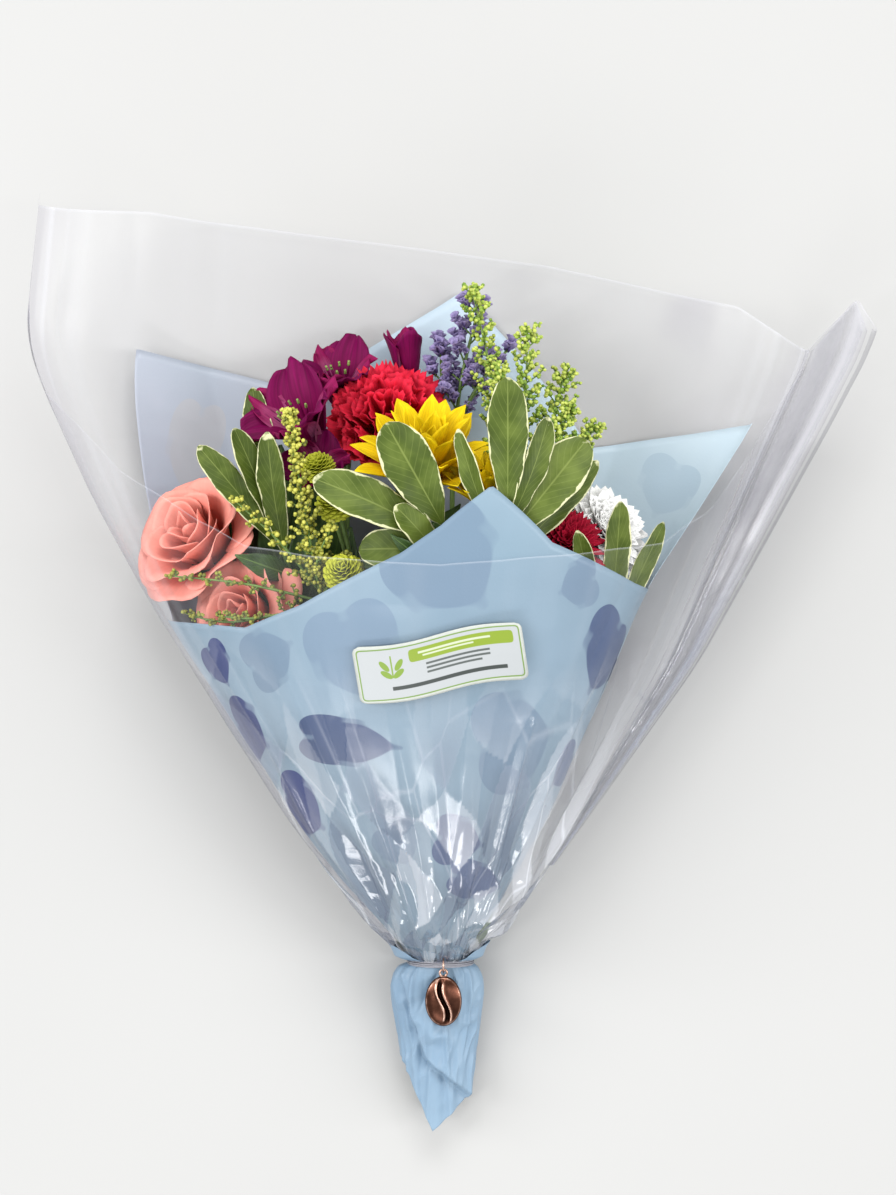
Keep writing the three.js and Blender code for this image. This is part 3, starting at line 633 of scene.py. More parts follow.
def paper_sheet(name, first, last, outline, inset, nodes, finish, columns):
    """A sheet of paper inside the wrap, from the tie to its cut edge. first and last are in degrees."""
    shape = new_shape()
    start = math.radians(first)
    end = math.radians(last)
    print_map = shape.loops.layers.uv.new("print")

    def spot_of(u, v):
        angle = start + (end - start) * u
        return angle, 1 + (edge_at(outline, math.cos(angle)) - 1) * v ** 1.2

    def place(u, v):
        angle, y = spot_of(u, v)
        sag = 0.5 + 0.8 * ridge(Vector((angle * 2.5, y / 70, inset))) * min(1, y / 60)
        sag += 1.4 * ridge(Vector((angle * 7, math.log(y + 12) * 1.6, inset))) * math.exp(-y / 50)
        spot = wrap_point(y, angle, inset, PAPER_RIGHT_WIDTH) - outward(angle, y, PAPER_RIGHT_WIDTH) * sag
        spot.z = max(spot.z, 1.0)
        return spot

    patch(shape, columns, 70, place)
    along = shape.loops.layers.uv["along"]
    for vert in shape.verts:
        angle, y = spot_of(*vert.link_loops[0][along].uv)
        flat = unrolled(y, angle, inset)
        for loop in vert.link_loops:
            loop[print_map].uv = flat
    area = sum(face.calc_area() for face in shape.faces) / 1e6
    print(name, "takes", round(area, 4), "square metres of paper")
    return new_piece(name, shape, [finish], nodes, wall=0.22)


# %% Print hearts on the paper
def heart_group():
    """A node group: 1 inside the heart where (x2 + y2 - 1) cubed is less than x2 y3, and 0 outside it."""
    group = bpy.data.node_groups.new("heart_print", "ShaderNodeTree")
    group.interface.new_socket(name="Place", in_out="INPUT", socket_type="NodeSocketVector")
    group.interface.new_socket(name="Inside", in_out="OUTPUT", socket_type="NodeSocketFloat")
    add = partial(add_node, group)
    place = add("NodeGroupInput").outputs["Place"]
    split = add("SeparateXYZ", {"Vector": place})
    x2 = add("Math", {0: split.outputs["X"], 1: split.outputs["X"]}, operation="MULTIPLY")
    y2 = add("Math", {0: split.outputs["Y"], 1: split.outputs["Y"]}, operation="MULTIPLY")
    ring = add("Math", {0: x2, 1: y2}, operation="ADD")
    less = add("Math", {0: ring, 1: 1.0}, operation="SUBTRACT")
    less2 = add("Math", {0: less, 1: less}, operation="MULTIPLY")
    cube = add("Math", {0: less2, 1: less}, operation="MULTIPLY")
    y3 = add("Math", {0: y2, 1: split.outputs["Y"]}, operation="MULTIPLY")
    lobe = add("Math", {0: x2, 1: y3}, operation="MULTIPLY")
    edge = add("Math", {0: lobe, 1: cube}, operation="SUBTRACT")
    inside = add("MapRange", {"Value": edge, "From Min": -0.02, "From Max": 0.02})
    add("NodeGroupOutput", {"Inside": inside})
    return group


HEART = heart_group()
# The formula's heart is 2.28 wide and 2.22 tall. Hearts are sized in millimetres and the map is in metres.
HEART_WIDE, HEART_TALL = 2280, 2220


def wrapping_paper_finish(name, light, dark, hearts):
    """Satin coated paper, softly mottled, with hearts of (centre, size, tilt in degrees, colour)."""
    material, add = new_material(name)
    sheet = add("UVMap", uv_map="print")
    place = add("TexCoord").outputs["Object"]
    cloud = add("TexNoise", {"Vector": place, "Scale": 1 / 0.07, "Detail": 3})
    fibre = add("TexNoise", {"Vector": place, "Scale": 1 / 0.0012, "Detail": 2})
    colour = add("ValToRGB", {"Fac": cloud}, stops=[(0.35, dark), (0.65, light)])
    for centre, size, tilt, ink in hearts:
        turn = (0, 0, math.radians(tilt))
        scale = (size[0] / HEART_WIDE, size[1] / HEART_TALL, 1)
        aim = add("Mapping", {"Vector": sheet, "Location": (*centre, 0), "Rotation": turn, "Scale": scale},
                  vector_type="TEXTURE")
        inside = add("Group", {"Place": aim}, node_tree=HEART)
        colour = add("MixRGB", {"Fac": inside, "Color1": colour, "Color2": linear(ink)})
    relief = add("Bump", {"Height": fibre, "Strength": 0.12, "Distance": 0.0004})
    satin = add("MapRange", {"Value": cloud, "To Min": 0.34, "To Max": 0.5})
    paper = add("BsdfPrincipled", {"Base Color": colour, "Normal": relief, "Roughness": satin,
                                   "Specular IOR Level": 0.35})
    add("OutputMaterial", {"Surface": paper})
    return material


def on_sheet(x, y, inset, front):
    """Where a spot seen from above is on the unrolled sheet, in metres."""
    width = (LEFT_WIDTH(y) if x < 0 else PAPER_RIGHT_WIDTH(y)) - inset
    angle = math.acos(max(-1, min(1, x / width)))
    return unrolled(y, angle if front else 2 * math.pi - angle, inset)


PAPER_LAYER = 1.7
PAPER_FRONT_EDGE = [(-1, 168), (-0.7, 165), (-0.47, 176), (-0.12, 200), (0.18, 231), (0.45, 205),
                    (0.9, 186), (1, 183)]
PAPER_RIGHT_EDGE = [(-0.6, 250), (-0.24, 297), (0.054, 332), (0.5, 254), (1, 264)]
PAPER_LEFT_EDGE = [(-1, 166), (-0.88, 226), (-0.77, 303), (-0.41, 285), (0, 262), (0.4, 225)]

# Each heart: where its middle is seen, its width and length in millimetres, its tilt in degrees, its ink.
FRONT_HEARTS = [((5, 193), (56, 50), 42, "70869A"), ((-39, 151), (46, 46), 18, "768CA0"),
                ((-42, 111), (24, 50), 84, "30466E"), ((-92, 113), (34, 31), 70, "0E2868"),
                ((-67, 76), (34, 34), 60, "0E2A6C"), ((-107, 146), (22, 22), 30, "0E2A6A"),
                ((79, 150), (46, 40), -28, "445678"), ((10, 63), (26, 24), 80, "4A5C80"),
                ((20, 42), (20, 32), 75, "526488"), ((38, 112), (50, 42), 100, "70869A"),
                ((60, 96), (22, 26), -50, "4A5E80"), ((-20, 60), (24, 22), 30, "70869A"),
                ((64, 185), (24, 22), -70, "70869A"), ((-80, 152), (30, 28), 120, "70869A")]
LEFT_HEARTS = [((-124, 252), (28, 46), -14, "A8AAB0"), ((-75, 232), (26, 24), -30, "A9B6C8"),
               ((-30, 170), (34, 30), 60, "7C92B8"), ((-90, 150), (30, 28), 20, "1C3A74"),
               ((-40, 90), (28, 26), -60, "485A7E"), ((30, 130), (30, 30), 10, "70869A")]
RIGHT_HEARTS = [((112, 232), (34, 30), -25, "AEC2D0"), ((60, 232), (28, 26), 30, "A6BCCE"),
                ((20, 280), (32, 30), -40, "ABC0CF"), ((80, 150), (30, 28), -70, "485A7E"),
                ((10, 190), (30, 32), 15, "70869A"), ((50, 90), (28, 26), 50, "1C3A74")]


def printed(hearts, inset, front=True):
    """The hearts with their middles moved on to the unrolled sheet."""
    return [(on_sheet(*middle, inset, front), *rest) for middle, *rest in hearts]


FRONT_PRINT = wrapping_paper_finish("light_blue_paper", "879DAD", "7E95A5",
                                    printed(FRONT_HEARTS, PAPER_LAYER))
paper_front = paper_sheet("paper_front_sheet", 179.4, 0.6, PAPER_FRONT_EDGE, PAPER_LAYER, ["paper_front"],
                          FRONT_PRINT, 200)
# The back sheets take the same paper in other colours as painted light and shade: the right one is painted
# lighter, the left one greyer and darker.
RIGHT_PRINT = wrapping_paper_finish("light_blue_paper_right_painted_lighter", "C4D5DF", "B6C9D5",
                                    printed(RIGHT_HEARTS, PAPER_LAYER, False))
paper_right = paper_sheet("paper_back_right_sheet", 359.4, 235, PAPER_RIGHT_EDGE, PAPER_LAYER,
                          ["paper_back_right"], RIGHT_PRINT, 150)
LEFT_PRINT = wrapping_paper_finish("light_blue_paper_left_painted_darker", "A6ACB8", "9DA5B1",
                                   printed(LEFT_HEARTS, PAPER_LAYER + 1.3, False))
paper_left = paper_sheet("paper_back_left_sheet", 300, 180.6, PAPER_LEFT_EDGE, PAPER_LAYER + 1.3,
                         ["paper_back_left"], LEFT_PRINT, 150)

# %% [markdown]
# ## The gathered tail
#
# Below the tie the same paper comes out again, squeezed into soft pleats, and ends in two cut corners. It
# is a flattened tube of paper with the stems inside, and its shoulders rise past the tie. A layer's folded
# edge crosses the front in two straight stretches, and a deep pleat starts under the charm.

# %% Gather the tail
TAIL_END = [(-1, -47), (-0.2, -84), (0.4, -73), (0.8, -67), (1, -50)]
# One layer's folded edge, from the left side down across the front, and a deep pleat from under the charm.
FOLD_LINE = [(-15.5, -20), (-8, -46), (15, -67)]
PLEAT_LINE = [(-1, -3), (-12, -26)]


def beside(x, y, start, end):
    """How far a spot is to the right of a line from start to end, and how far along the line, as a share."""
    way = Vector(end) - Vector(start)
    spot = Vector((x, y)) - Vector(start)
    return (spot.y * way.x - spot.x * way.y) / way.length, spot.dot(way) / way.length_squared


def tail_folds(x, y):
    """How far the folded edge and the pleat lift or sink the tail's front, in millimetres."""
    inside = min(beside(x, y, *FOLD_LINE[:2])[0], beside(x, y, *FOLD_LINE[1:])[0])
    lift = 3.6 * min(1, max(0, inside / 0.9 + 0.5)) * math.exp(-max(0, inside) / 16)
    sunk = -2.2 * math.exp(-abs(inside + 2.5) / 3) * (inside < -0.45)
    off, along = beside(x, y, *PLEAT_LINE)
    if -0.1 < along < 1.1:
        depth = 5.0 * math.sin(math.pi * min(1, max(0, along)) ** 0.7)
        sunk -= depth * math.exp(-abs(off) / (1.2 if off > 0 else 3.5))
    return (lift + sunk) * min(1, -y / 8)


def tail_place(u, v):
    angle = 2 * math.pi * u
    end = edge_at(TAIL_END, math.cos(angle))
    # The paper's shoulders rise past the tie at both sides, outside the film.
    rise = 11 * max(0, (abs(math.cos(angle)) - 0.5) / 0.5) ** 0.7
    top = -0.6 + rise
    y = top + (end - top) * v
    down = max(0, -y)
    pleat = ridge(Vector((math.cos(angle) * 3.4, math.sin(angle) * 3.4, down / 60)))
    crush = ridge(Vector((math.cos(angle) * 2 + down / 16, math.sin(angle) * 2, down / 18)))
    sag = 2.4 * (1 - pleat) * min(1, down / 6) - 2.2 * min(1, down / 12)
    sag += 3.0 * (1 - crush) * math.exp(-((down - 34) / 26) ** 2)
    sag *= 0.75
    spot = wrap_point(y, angle, PAPER_LAYER - 4.6 * min(1, max(0, y) / 3))
    if y < 0:
        sag -= tail_folds(spot.x, y) * max(0, math.sin(angle))
    spot -= outward(angle, y) * (sag * (0.15 + 0.85 * abs(math.sin(angle))))
    spot.z = max(spot.z, 0.4)
    return spot


tail_shape = new_shape()
tail_print = tail_shape.loops.layers.uv.new("print")
tail_verts = patch(tail_shape, 220, 100, tail_place)
for tail_face in tail_shape.faces:
    for tail_loop in tail_face.loops:
        tail_loop[tail_print].uv = (tail_loop.vert.co.x / 1000, tail_loop.vert.co.y / 1000)
bmesh.ops.remove_doubles(tail_shape, verts=tail_verts, dist=0.001)
tail_area = sum(face.calc_area() for face in tail_shape.faces) / 1e6
print("the tail takes", round(tail_area, 4), "square metres of paper")
paper_tail = new_piece(
    "paper_tail_gather", tail_shape,
    [wrapping_paper_finish("light_blue_paper_tail", "869FB4", "768FA6", [])],
    ["paper_tail"], wall=0.22)

# %% [markdown]
# ## Label, tie and charm
#
# The label is a white paper sticker on the front of the film. Its printing is left generic: a thin green
# border, a plain green sprig, a lime strip, and pale and grey bars in place of words. The tie is a thin
# clear elastic, wound a few times. From its ring hangs a bean-shaped charm, cast in zinc and plated with
# antiqued copper-bronze: dark in its groove, worn bright on its rims.


# %% Stick on the label
LABEL_WIDE, LABEL_HIGH, LABEL_TURN = 79, 27, math.radians(9)


def label_place(u, v):
    high = (v - 0.5) * LABEL_HIGH
    corner = max(0, abs(high) - (LABEL_HIGH / 2 - 3.2))
    wide = (u - 0.5) * (LABEL_WIDE - 2 * (3.2 - math.sqrt(max(0, 3.2 ** 2 - corner ** 2))))
    high += 1.5 * math.sin((u - 0.5) * 2 * math.pi)
    x = LABEL_MIDDLE[0] + wide * math.cos(LABEL_TURN) - high * math.sin(LABEL_TURN)
    y = LABEL_MIDDLE[1] + wide * math.sin(LABEL_TURN) + high * math.cos(LABEL_TURN)
    angle = math.acos(max(-1, min(1, x / (LEFT_WIDTH(y) if x < 0 else RIGHT_WIDTH(y)))))
    return wrap_point(y, angle, -0.75)


def label_finish():
    """Coated sticker paper. The print is drawn in millimetres from the label's lower left corner."""
    material, add = new_material("coated_label_paper")
    along = add("UVMap", uv_map="along")
    size = add("Mapping", {"Vector": along, "Scale": (LABEL_WIDE, LABEL_HIGH, 1)})
    spot = add("SeparateXYZ", {"Vector": size})

    def box_mask(middle, half, soft):
        """1 inside a box with corners rounded by soft: the larger of two distances, cut off."""
        sides = []
        for axis, at, reach in (("X", middle[0], half[0]), ("Y", middle[1], half[1])):
            off = add("Math", {0: spot.outputs[axis], 1: at}, operation="SUBTRACT")
            far = add("Math", {0: off}, operation="ABSOLUTE")
            sides.append(add("Math", {0: far, 1: reach}, operation="SUBTRACT"))
        most = add("Math", {0: sides[0], 1: sides[1], 2: soft}, operation="SMOOTH_MAX")
        return add("MapRange", {"Value": most, "From Min": 0.12, "From Max": -0.12})

    colour = add("TexNoise", {"Vector": size, "Scale": 0.4})
    colour = add("ValToRGB", {"Fac": colour}, stops=[(0.3, "B4B9B2"), (0.7, "BCC0BA")])
    marks = [("6E8C3E", (39.5, 13.5), (38.1, 12.1), 2.4), ("B0B4B6", (39.5, 13.5), (37.5, 11.5), 2.2),
             ("83992F", (50, 20.4), (24.5, 3.0), 2.9), ("C0C8AE", (47, 21.2), (17, 0.5), 0.4),
             ("C0C8AE", (44, 19.6), (12, 0.4), 0.3), ("565C5A", (48, 15.4), (15, 0.5), 0.3),
             ("565C5A", (48, 13.4), (15, 0.5), 0.3), ("565C5A", (46, 11.4), (13, 0.5), 0.3),
             ("3C4240", (43, 6.6), (27, 0.9), 0.4), ("7A9636", (17, 16.8), (0.35, 5.2), 0.3)]
    for ink, middle, half, soft in marks:
        colour = add("MixRGB", {"Fac": box_mask(middle, half, soft), "Color1": colour,
                                "Color2": linear(ink)})
    for middle, tilt in (((13.6, 17.4), 38), ((20.4, 17.4), -38), ((14.2, 13.4), 55), ((19.8, 13.4), -55)):
        leaf = add("Mapping", {"Vector": size, "Location": (*middle, 0),
                               "Rotation": (0, 0, math.radians(tilt)), "Scale": (1.35, 3.1, 1)},
                   vector_type="TEXTURE")
        away = add("VectorMath", {0: leaf}, operation="LENGTH")
        inside = add("MapRange", {"Value": away.outputs["Value"], "From Min": 1.05, "From Max": 0.95})
        colour = add("MixRGB", {"Fac": inside, "Color1": colour, "Color2": linear("7A9636")})
    paper = add("BsdfPrincipled", {"Base Color": colour, "Roughness": 0.35})
    add("OutputMaterial", {"Surface": paper})
    return material


label_shape = new_shape()
patch(label_shape, 60, 30, label_place)
new_piece("label_sticker", label_shape, [label_finish()], ["label"], wall=0.3)


# %% Wind the tie
def tie_finish():
    """Clear elastic with a grey cast, finely ribbed along its turns."""
    material, add = new_material("clear_grey_elastic")
    place = add("TexCoord").outputs["Object"]
    ribs = add("TexWave", {"Vector": place, "Scale": 1 / 0.0025, "Distortion": 1.5}, bands_direction="Y")
    shade = add("ValToRGB", {"Fac": ribs.outputs["Fac"]}, stops=[(0.2, "82828A"), (0.8, "ADACB4")])
    relief = add("Bump", {"Height": ribs.outputs["Fac"], "Distance": 0.0003})
    elastic = add("BsdfPrincipled", {"Base Color": shade, "Roughness": 0.3, "Normal": relief})
    add("OutputMaterial", {"Surface": elastic})
    return material


tie_shape = new_shape()
for tie_row in range(3):
    tie_y = -1.0 + 1.0 * tie_row

    def tie_place(u, v, tie_y=tie_y):
        angle = 2 * math.pi * u
        turn = 2 * math.pi * v
        middle = wrap_point(0, angle, -0.9)
        way = outward(angle, 0)
        return middle + way * (0.5 * math.cos(turn)) + Vector((0, tie_y + 0.5 * math.sin(turn), 0))

    tie_verts = patch(tie_shape, 64, 10, tie_place)
    bmesh.ops.remove_doubles(tie_shape, verts=tie_verts, dist=0.001)
bmesh.ops.recalc_face_normals(tie_shape, faces=tie_shape.faces)
new_piece("neck_tie_windings", tie_shape, [tie_finish()], ["neck_tie"])


# %% Cast the charm
def bronze_finish(name):
    """Copper-bronze plate: tone is 0 in the groove, where the antiquing stays dark, and 1 on worn rims."""
    material, add = new_material(name)
    place = add("TexCoord").outputs["Object"]
    wear = add("TexNoise", {"Vector": place, "Scale": 1 / 0.003, "Detail": 4})
    tone = add("Attribute", attribute_name="tone").outputs["Fac"]
    worn = add("Math", {0: wear, 1: 0.35, 2: tone}, operation="MULTIPLY_ADD")
    shade = add("ValToRGB", {"Fac": worn}, stops=[(0.2, "1A100C"), (0.6, "4C3026"), (0.85, "684436"),
                                                  (1.0, "CFAA98")])
    rough = add("MapRange", {"Value": wear, "To Min": 0.2, "To Max": 0.42})
    relief = add("Bump", {"Height": wear, "Strength": 0.15, "Distance": 0.0002})
    plate = add("BsdfPrincipled", {"Base Color": shade, "Metallic": 1.0, "Roughness": rough,
                                   "Normal": relief})
    add("OutputMaterial", {"Surface": plate})
    return material


CHARM_LONG, CHARM_WIDE, CHARM_DEEP = 25, 18, 7
charm_low, charm_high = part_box("bean_charm")
charm_low = TO_ROW.inverted() @ Vector(charm_low)
charm_high = TO_ROW.inverted() @ Vector(charm_high)
eye_at = Vector(((charm_low.x + charm_high.x) / 2, charm_high.y - 2.6, charm_high.z - 1.6))
bean_at = Vector((eye_at.x, charm_low.y + CHARM_LONG / 2, charm_low.z + CHARM_DEEP / 2 + 0.6))
charm_aim = (eye_at - bean_at).normalized()
charm_turn = Matrix.Rotation(math.asin(charm_aim.z) * 0.6, 4, "X")
BRONZE = bronze_finish("antiqued_copper_bronze")


def groove_line(along):
    """How far the bean's S-shaped groove is to the side, at a height from -1 to 1."""
    return -0.24 * math.sin(along * math.pi * 0.95) * CHARM_WIDE / 2


charm_shape = new_shape()
bmesh.ops.create_uvsphere(charm_shape, u_segments=96, v_segments=72, radius=1)
charm_tones = charm_shape.verts.layers.float["tone"]
for vert in charm_shape.verts:
    x, y, z = vert.co.z, vert.co.y, vert.co.x
    off = abs(x * CHARM_WIDE / 2 - groove_line(y))
    on_front = z > 0 and abs(y) < 0.9
    dip = math.exp(-(off / 0.75) ** 2) if on_front else 0
    rim = math.exp(-((off - 1.7) / 0.55) ** 2) if on_front else 0
    outer = math.exp(-((math.hypot(x, y) - 0.93) / 0.05) ** 2)
    fade = min(1, (0.9 - abs(y)) / 0.2) if on_front else 0
    vert.co = Vector((x * CHARM_WIDE / 2, y * CHARM_LONG / 2,
                      z * CHARM_DEEP / 2 * (1 - 0.12 * (1 - abs(z))) - 1.5 * dip * fade + 0.45 * rim * fade))
    vert[charm_tones] = max(0, min(1, 0.45 - 0.5 * dip * fade + 0.5 * rim * fade + 0.3 * outer))
bmesh.ops.recalc_face_normals(charm_shape, faces=charm_shape.faces)
bmesh.ops.transform(charm_shape, verts=charm_shape.verts, matrix=Matrix.Translation(bean_at) @ charm_turn)


def ring_place(middle, reach, wire, flat_turn):
    def place(u, v):
        turn = 2 * math.pi * u
        round_wire = 2 * math.pi * v
        spoke = Vector((math.cos(turn), math.sin(turn), 0))
        spot = spoke * (reach + wire * math.cos(round_wire)) + Vector((0, 0, wire * math.sin(round_wire)))
        return middle + flat_turn @ spot
    return place


bean_top = Matrix.Translation(bean_at) @ charm_turn @ Vector((0, CHARM_LONG / 2, 0))
eye_middle = bean_top + (charm_turn @ Vector((0, 1.5, 0)))
eye_verts = patch(charm_shape, 32, 12, ring_place(eye_middle, 1.75, 0.6, charm_turn.to_3x3()), tone=0.8)
bmesh.ops.remove_doubles(charm_shape, verts=eye_verts, dist=0.001)
bmesh.ops.recalc_face_normals(charm_shape, faces=charm_shape.faces)
new_piece("bean_charm_cast", charm_shape, [BRONZE], ["bean_charm"])

ring_low, ring_high = (TO_ROW.inverted() @ Vector(corner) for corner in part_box("jump_ring"))
ring_middle = (ring_low + ring_high) / 2
link_shape = new_shape()
link_reach = (ring_high.y - ring_low.y) / 2 - 0.45
link_turn = Matrix.Rotation(math.pi / 2, 3, "Y")
link_verts = patch(link_shape, 40, 12, ring_place(ring_middle, link_reach, 0.45, link_turn), tone=0.8)
bmesh.ops.remove_doubles(link_shape, verts=link_verts, dist=0.001)
bmesh.ops.recalc_face_normals(link_shape, faces=link_shape.faces)
new_piece("jump_ring_wire", link_shape, [BRONZE], ["jump_ring"])
print("the charm's box is from", [round(c, 1) for c in charm_low], "to", [round(c, 1) for c in charm_high])

# %% [markdown]
# ## Stems and hidden foliage
#
# Every flower has its own stem: it passes through the tie in a close bundle and bends out to its head. A
# stem is a smooth tube with faint joints. Between the heads the real bouquet shows no gaps, only dark
# leaves from the same stems, so each stem piece carries a few lance-shaped leaves that reach up and
# outwards but stay inside the paper.

# %% Route the stems
STEM_PITCH = 4.3
STEM_RADIUS = 1.9
STEM_FOOT = -58
BUNDLE_HEIGHT = 17.5


def slot_at(column, row):
    """A stem's place in the bundle at the tie."""
    return Vector((column * STEM_PITCH, 0, BUNDLE_HEIGHT + (row - 0.5) * STEM_PITCH * 0.866))


def stem_route(place, end):
    """The points of a stem from its cut foot through the tie to its end."""
    x, _, z = place
    end = Vector(end)
    foot = Vector((x * 1.25, STEM_FOOT, 12.5 + (z - BUNDLE_HEIGHT) * 0.85))
    through = Vector((x, 3, z))
    return [foot, Vector((x * 1.02, -8, z - 0.6)), through, (through + end) / 2, end]


def leaf_place(base, tip, width, bend, roll=0.0, waviness=0.0, point=0.75, fullness=1.5, phase=0.0,
               spoon=False):
    """A leaf blade from base to tip. fullness above 1 puts its widest part towards the tip."""
    base = Vector(base)
    tip = Vector(tip)
    way = (tip - base).normalized()
    side = Vector((0, 0, 1)).cross(way) * -1
    side = (side if side.length > 0.1 else Vector((1, 0, 0))).normalized()
    normal = side.cross(way)
    length = (tip - base).length
    turn = Matrix.Rotation(math.radians(roll), 3, way)
    side = turn @ side
    normal = turn @ normal

    def place(u, v):
        across = 2 * u - 1
        if spoon:
            low = v / 0.64
            wide = low ** 0.85 * (1.6 - 0.6 * low) if low < 1 else math.sqrt(1 - ((v - 0.64) / 0.362) ** 2)
            wide = width / 2 * max(0.05, wide)
        else:
            wide = width / 2 * max(0.03, math.sin(math.pi * min(1, v + 0.012) ** fullness)) ** point
        x = across * wide
        lift = bend * math.sin(math.pi * v) + 0.22 * abs(across) ** 1.6 * wide
        lift += waviness * math.sin(v * 17 + phase + across) * abs(across) ** 3 * math.sin(math.pi * v)
        x += waviness * 0.3 * math.sin(v * 23 + phase * 2) * abs(across) ** 4
        return base + side * x + way * (length * v) + normal * lift

    return place


def stem_finish():
    """A soft green stalk: fine ribs along it, and a paler, matt bloom in blotches."""
    material, add = new_material("green_stalk")
    place = add("TexCoord").outputs["Object"]
    long_way = add("Mapping", {"Vector": place, "Scale": (1, 0.12, 1)})
    ribs = add("TexNoise", {"Vector": long_way, "Scale": 1 / 0.0012})
    blotch = add("TexNoise", {"Vector": place, "Scale": 1 / 0.02, "Detail": 3})
    shade = add("ValToRGB", {"Fac": blotch}, stops=[(0.3, "4E6A2C"), (0.6, "6E8A3E"), (0.8, "8FA558")])
    relief = add("Bump", {"Height": ribs, "Strength": 0.4, "Distance": 0.0003})
    rough = add("MapRange", {"Value": blotch, "To Min": 0.4, "To Max": 0.6})
    stalk_skin = add("BsdfPrincipled", {"Base Color": shade, "Roughness": rough, "Normal": relief})
    add("OutputMaterial", {"Surface": stalk_skin})
    return material


def leaf_veins(add, spot, midrib, slope, pitch, side):
    """A midrib and slanting side veins. Returns the distance from the middle line, and where the veins are.

    midrib is where it starts to fade, where it ends, and its strength. slope and pitch are how the side
    veins slant and how close they are; side is how high a wave has to be to count as one, and its strength.
    """
    off = add("Math", {0: spot.outputs["X"], 1: 0.5}, operation="SUBTRACT")
    far = add("Math", {0: off}, operation="ABSOLUTE")
    rib = add("MapRange", {"Value": far, "From Min": midrib[0], "From Max": midrib[1], "To Min": midrib[2],
                           "To Max": 0})
    slant = add("Math", {0: far, 1: slope, 2: spot.outputs["Y"]}, operation="MULTIPLY_ADD")
    fan = add("Math", {0: slant, 1: pitch}, operation="MULTIPLY")
    wave = add("Math", {0: fan}, operation="SINE")
    veins = add("MapRange", {"Value": wave, "From Min": side[0], "From Max": 1.0, "To Max": side[1]})
    return far, add("Math", {0: rib, 1: veins}, operation="MAXIMUM")


def foliage_finish(name, deep, middle, light, vein):
    """A leaf blade: midrib and side veins from its own map, over green that is paler in blotches."""
    material, add = new_material(name)
    along = add("UVMap", uv_map="along")
    spot = add("SeparateXYZ", {"Vector": along})
    place = add("TexCoord").outputs["Object"]
    tone = add("Attribute", attribute_name="tone").outputs["Fac"]
    blotch = add("TexNoise", {"Vector": place, "Scale": 1 / 0.009, "Detail": 3})
    mixed = add("Math", {0: tone, 1: blotch}, operation="ADD")
    shade = add("ValToRGB", {"Fac": mixed}, stops=[(0.35, deep), (0.65, middle), (1.0, light)])
    far, lines = leaf_veins(add, spot, (0.012, 0.05, 1), -0.55, 62.0, (0.8, 0.3))
    colour = add("MixRGB", {"Fac": lines, "Color1": shade, "Color2": linear(vein)})
    relief = add("Bump", {"Height": lines, "Strength": 0.35, "Distance": 0.0004})
    rough = add("MapRange", {"Value": blotch, "To Min": 0.36, "To Max": 0.52})
    blade = add("BsdfPrincipled", {"Base Color": colour, "Roughness": rough, "Normal": relief})
    add("OutputMaterial", {"Surface": blade})
    return material


STALK = stem_finish()
DARK_LEAF = foliage_finish("florists_dark_foliage", "1F3514", "33501D", "4E6E2C", "6C8A45")


def add_broad_leaves(shape, route, share, tips):
    """Broad dark leaves from one place on a stem to the given tips."""
    base = smooth_line(route, share)
    for number, tip in enumerate(tips):
        leaf = leaf_place(base, tip, 28, 3, 12 * (number % 3 - 1), 0.6, 0.8, 1.1, number)
        patch(shape, 8, 16, leaf, 0.1 + 0.12 * (number % 3), paint=1)


def add_foliage(shape, route, count, seed, start=0.45):
    """Dark leaves from a stem: they reach outwards and up, and stay below the front paper."""
    pick = random.Random(seed)
    for i in range(count):
        share = start + (0.96 - start) * (i + pick.random() * 0.6) / count
        base = smooth_line(route, share)
        swing = (1 if i % 2 else -1) * pick.uniform(0.3, 1.3)
        reach = pick.uniform(26, 42)
        way = Vector((math.sin(swing), math.cos(swing), pick.uniform(0.1, 0.7))).normalized()
        tip = base + way * reach
        tip.z = max(14, min(tip.z, headroom(tip.x, tip.y) - 9))
        tip.x = max(-LEFT_WIDTH(tip.y) * 0.8, min(tip.x, PAPER_RIGHT_WIDTH(tip.y) * 0.8))
        leaf = leaf_place(base, tip, pick.uniform(9, 14), pick.uniform(1, 4), pick.uniform(-25, 25),
                          0.5, 0.9, 0.85, pick.uniform(0, 6))
        patch(shape, 6, 12, leaf, pick.uniform(0, 0.5), paint=1)


ROSE_LEAVES = [(-98, 218, 30), (-82, 236, 34), (-62, 230, 30), (-44, 214, 36), (-110, 190, 34),
               (-74, 214, 50), (-52, 196, 56), (-90, 204, 44), (-86, 222, 52), (-66, 222, 58),
               (-100, 202, 50), (-36, 196, 50), (-94, 250, 36), (-78, 254, 40), (-64, 250, 44),
               (-102, 236, 40), (-86, 242, 28), (-72, 240, 34)]


def stem_piece(name, slot, end, leaves, seed, broad=()):
    """A stem with its hidden leaves."""
    route = stem_route(slot_at(*slot), end)
    shape = new_shape()
    stalk(shape, route, STEM_RADIUS, STEM_RADIUS * 0.75, 10, 40, 0.5, 0, 0.12)
    add_foliage(shape, route, leaves, seed)
    add_broad_leaves(shape, route, 0.82, broad)
    return new_piece(name + "_cut_stem", shape, [STALK, DARK_LEAF], [name + "_stem"], wall=0.3,
                     thin=[1])

# %% [markdown]
# ## Petals
#
# A petal's finish follows its own map: deeper colour at its base, a lighter tip, fine veins along it, and
# light that comes through the thin blade. One function makes that finish for every kind; the kinds differ
# in their hex codes, in how strongly they are veined, and in how much light comes through.


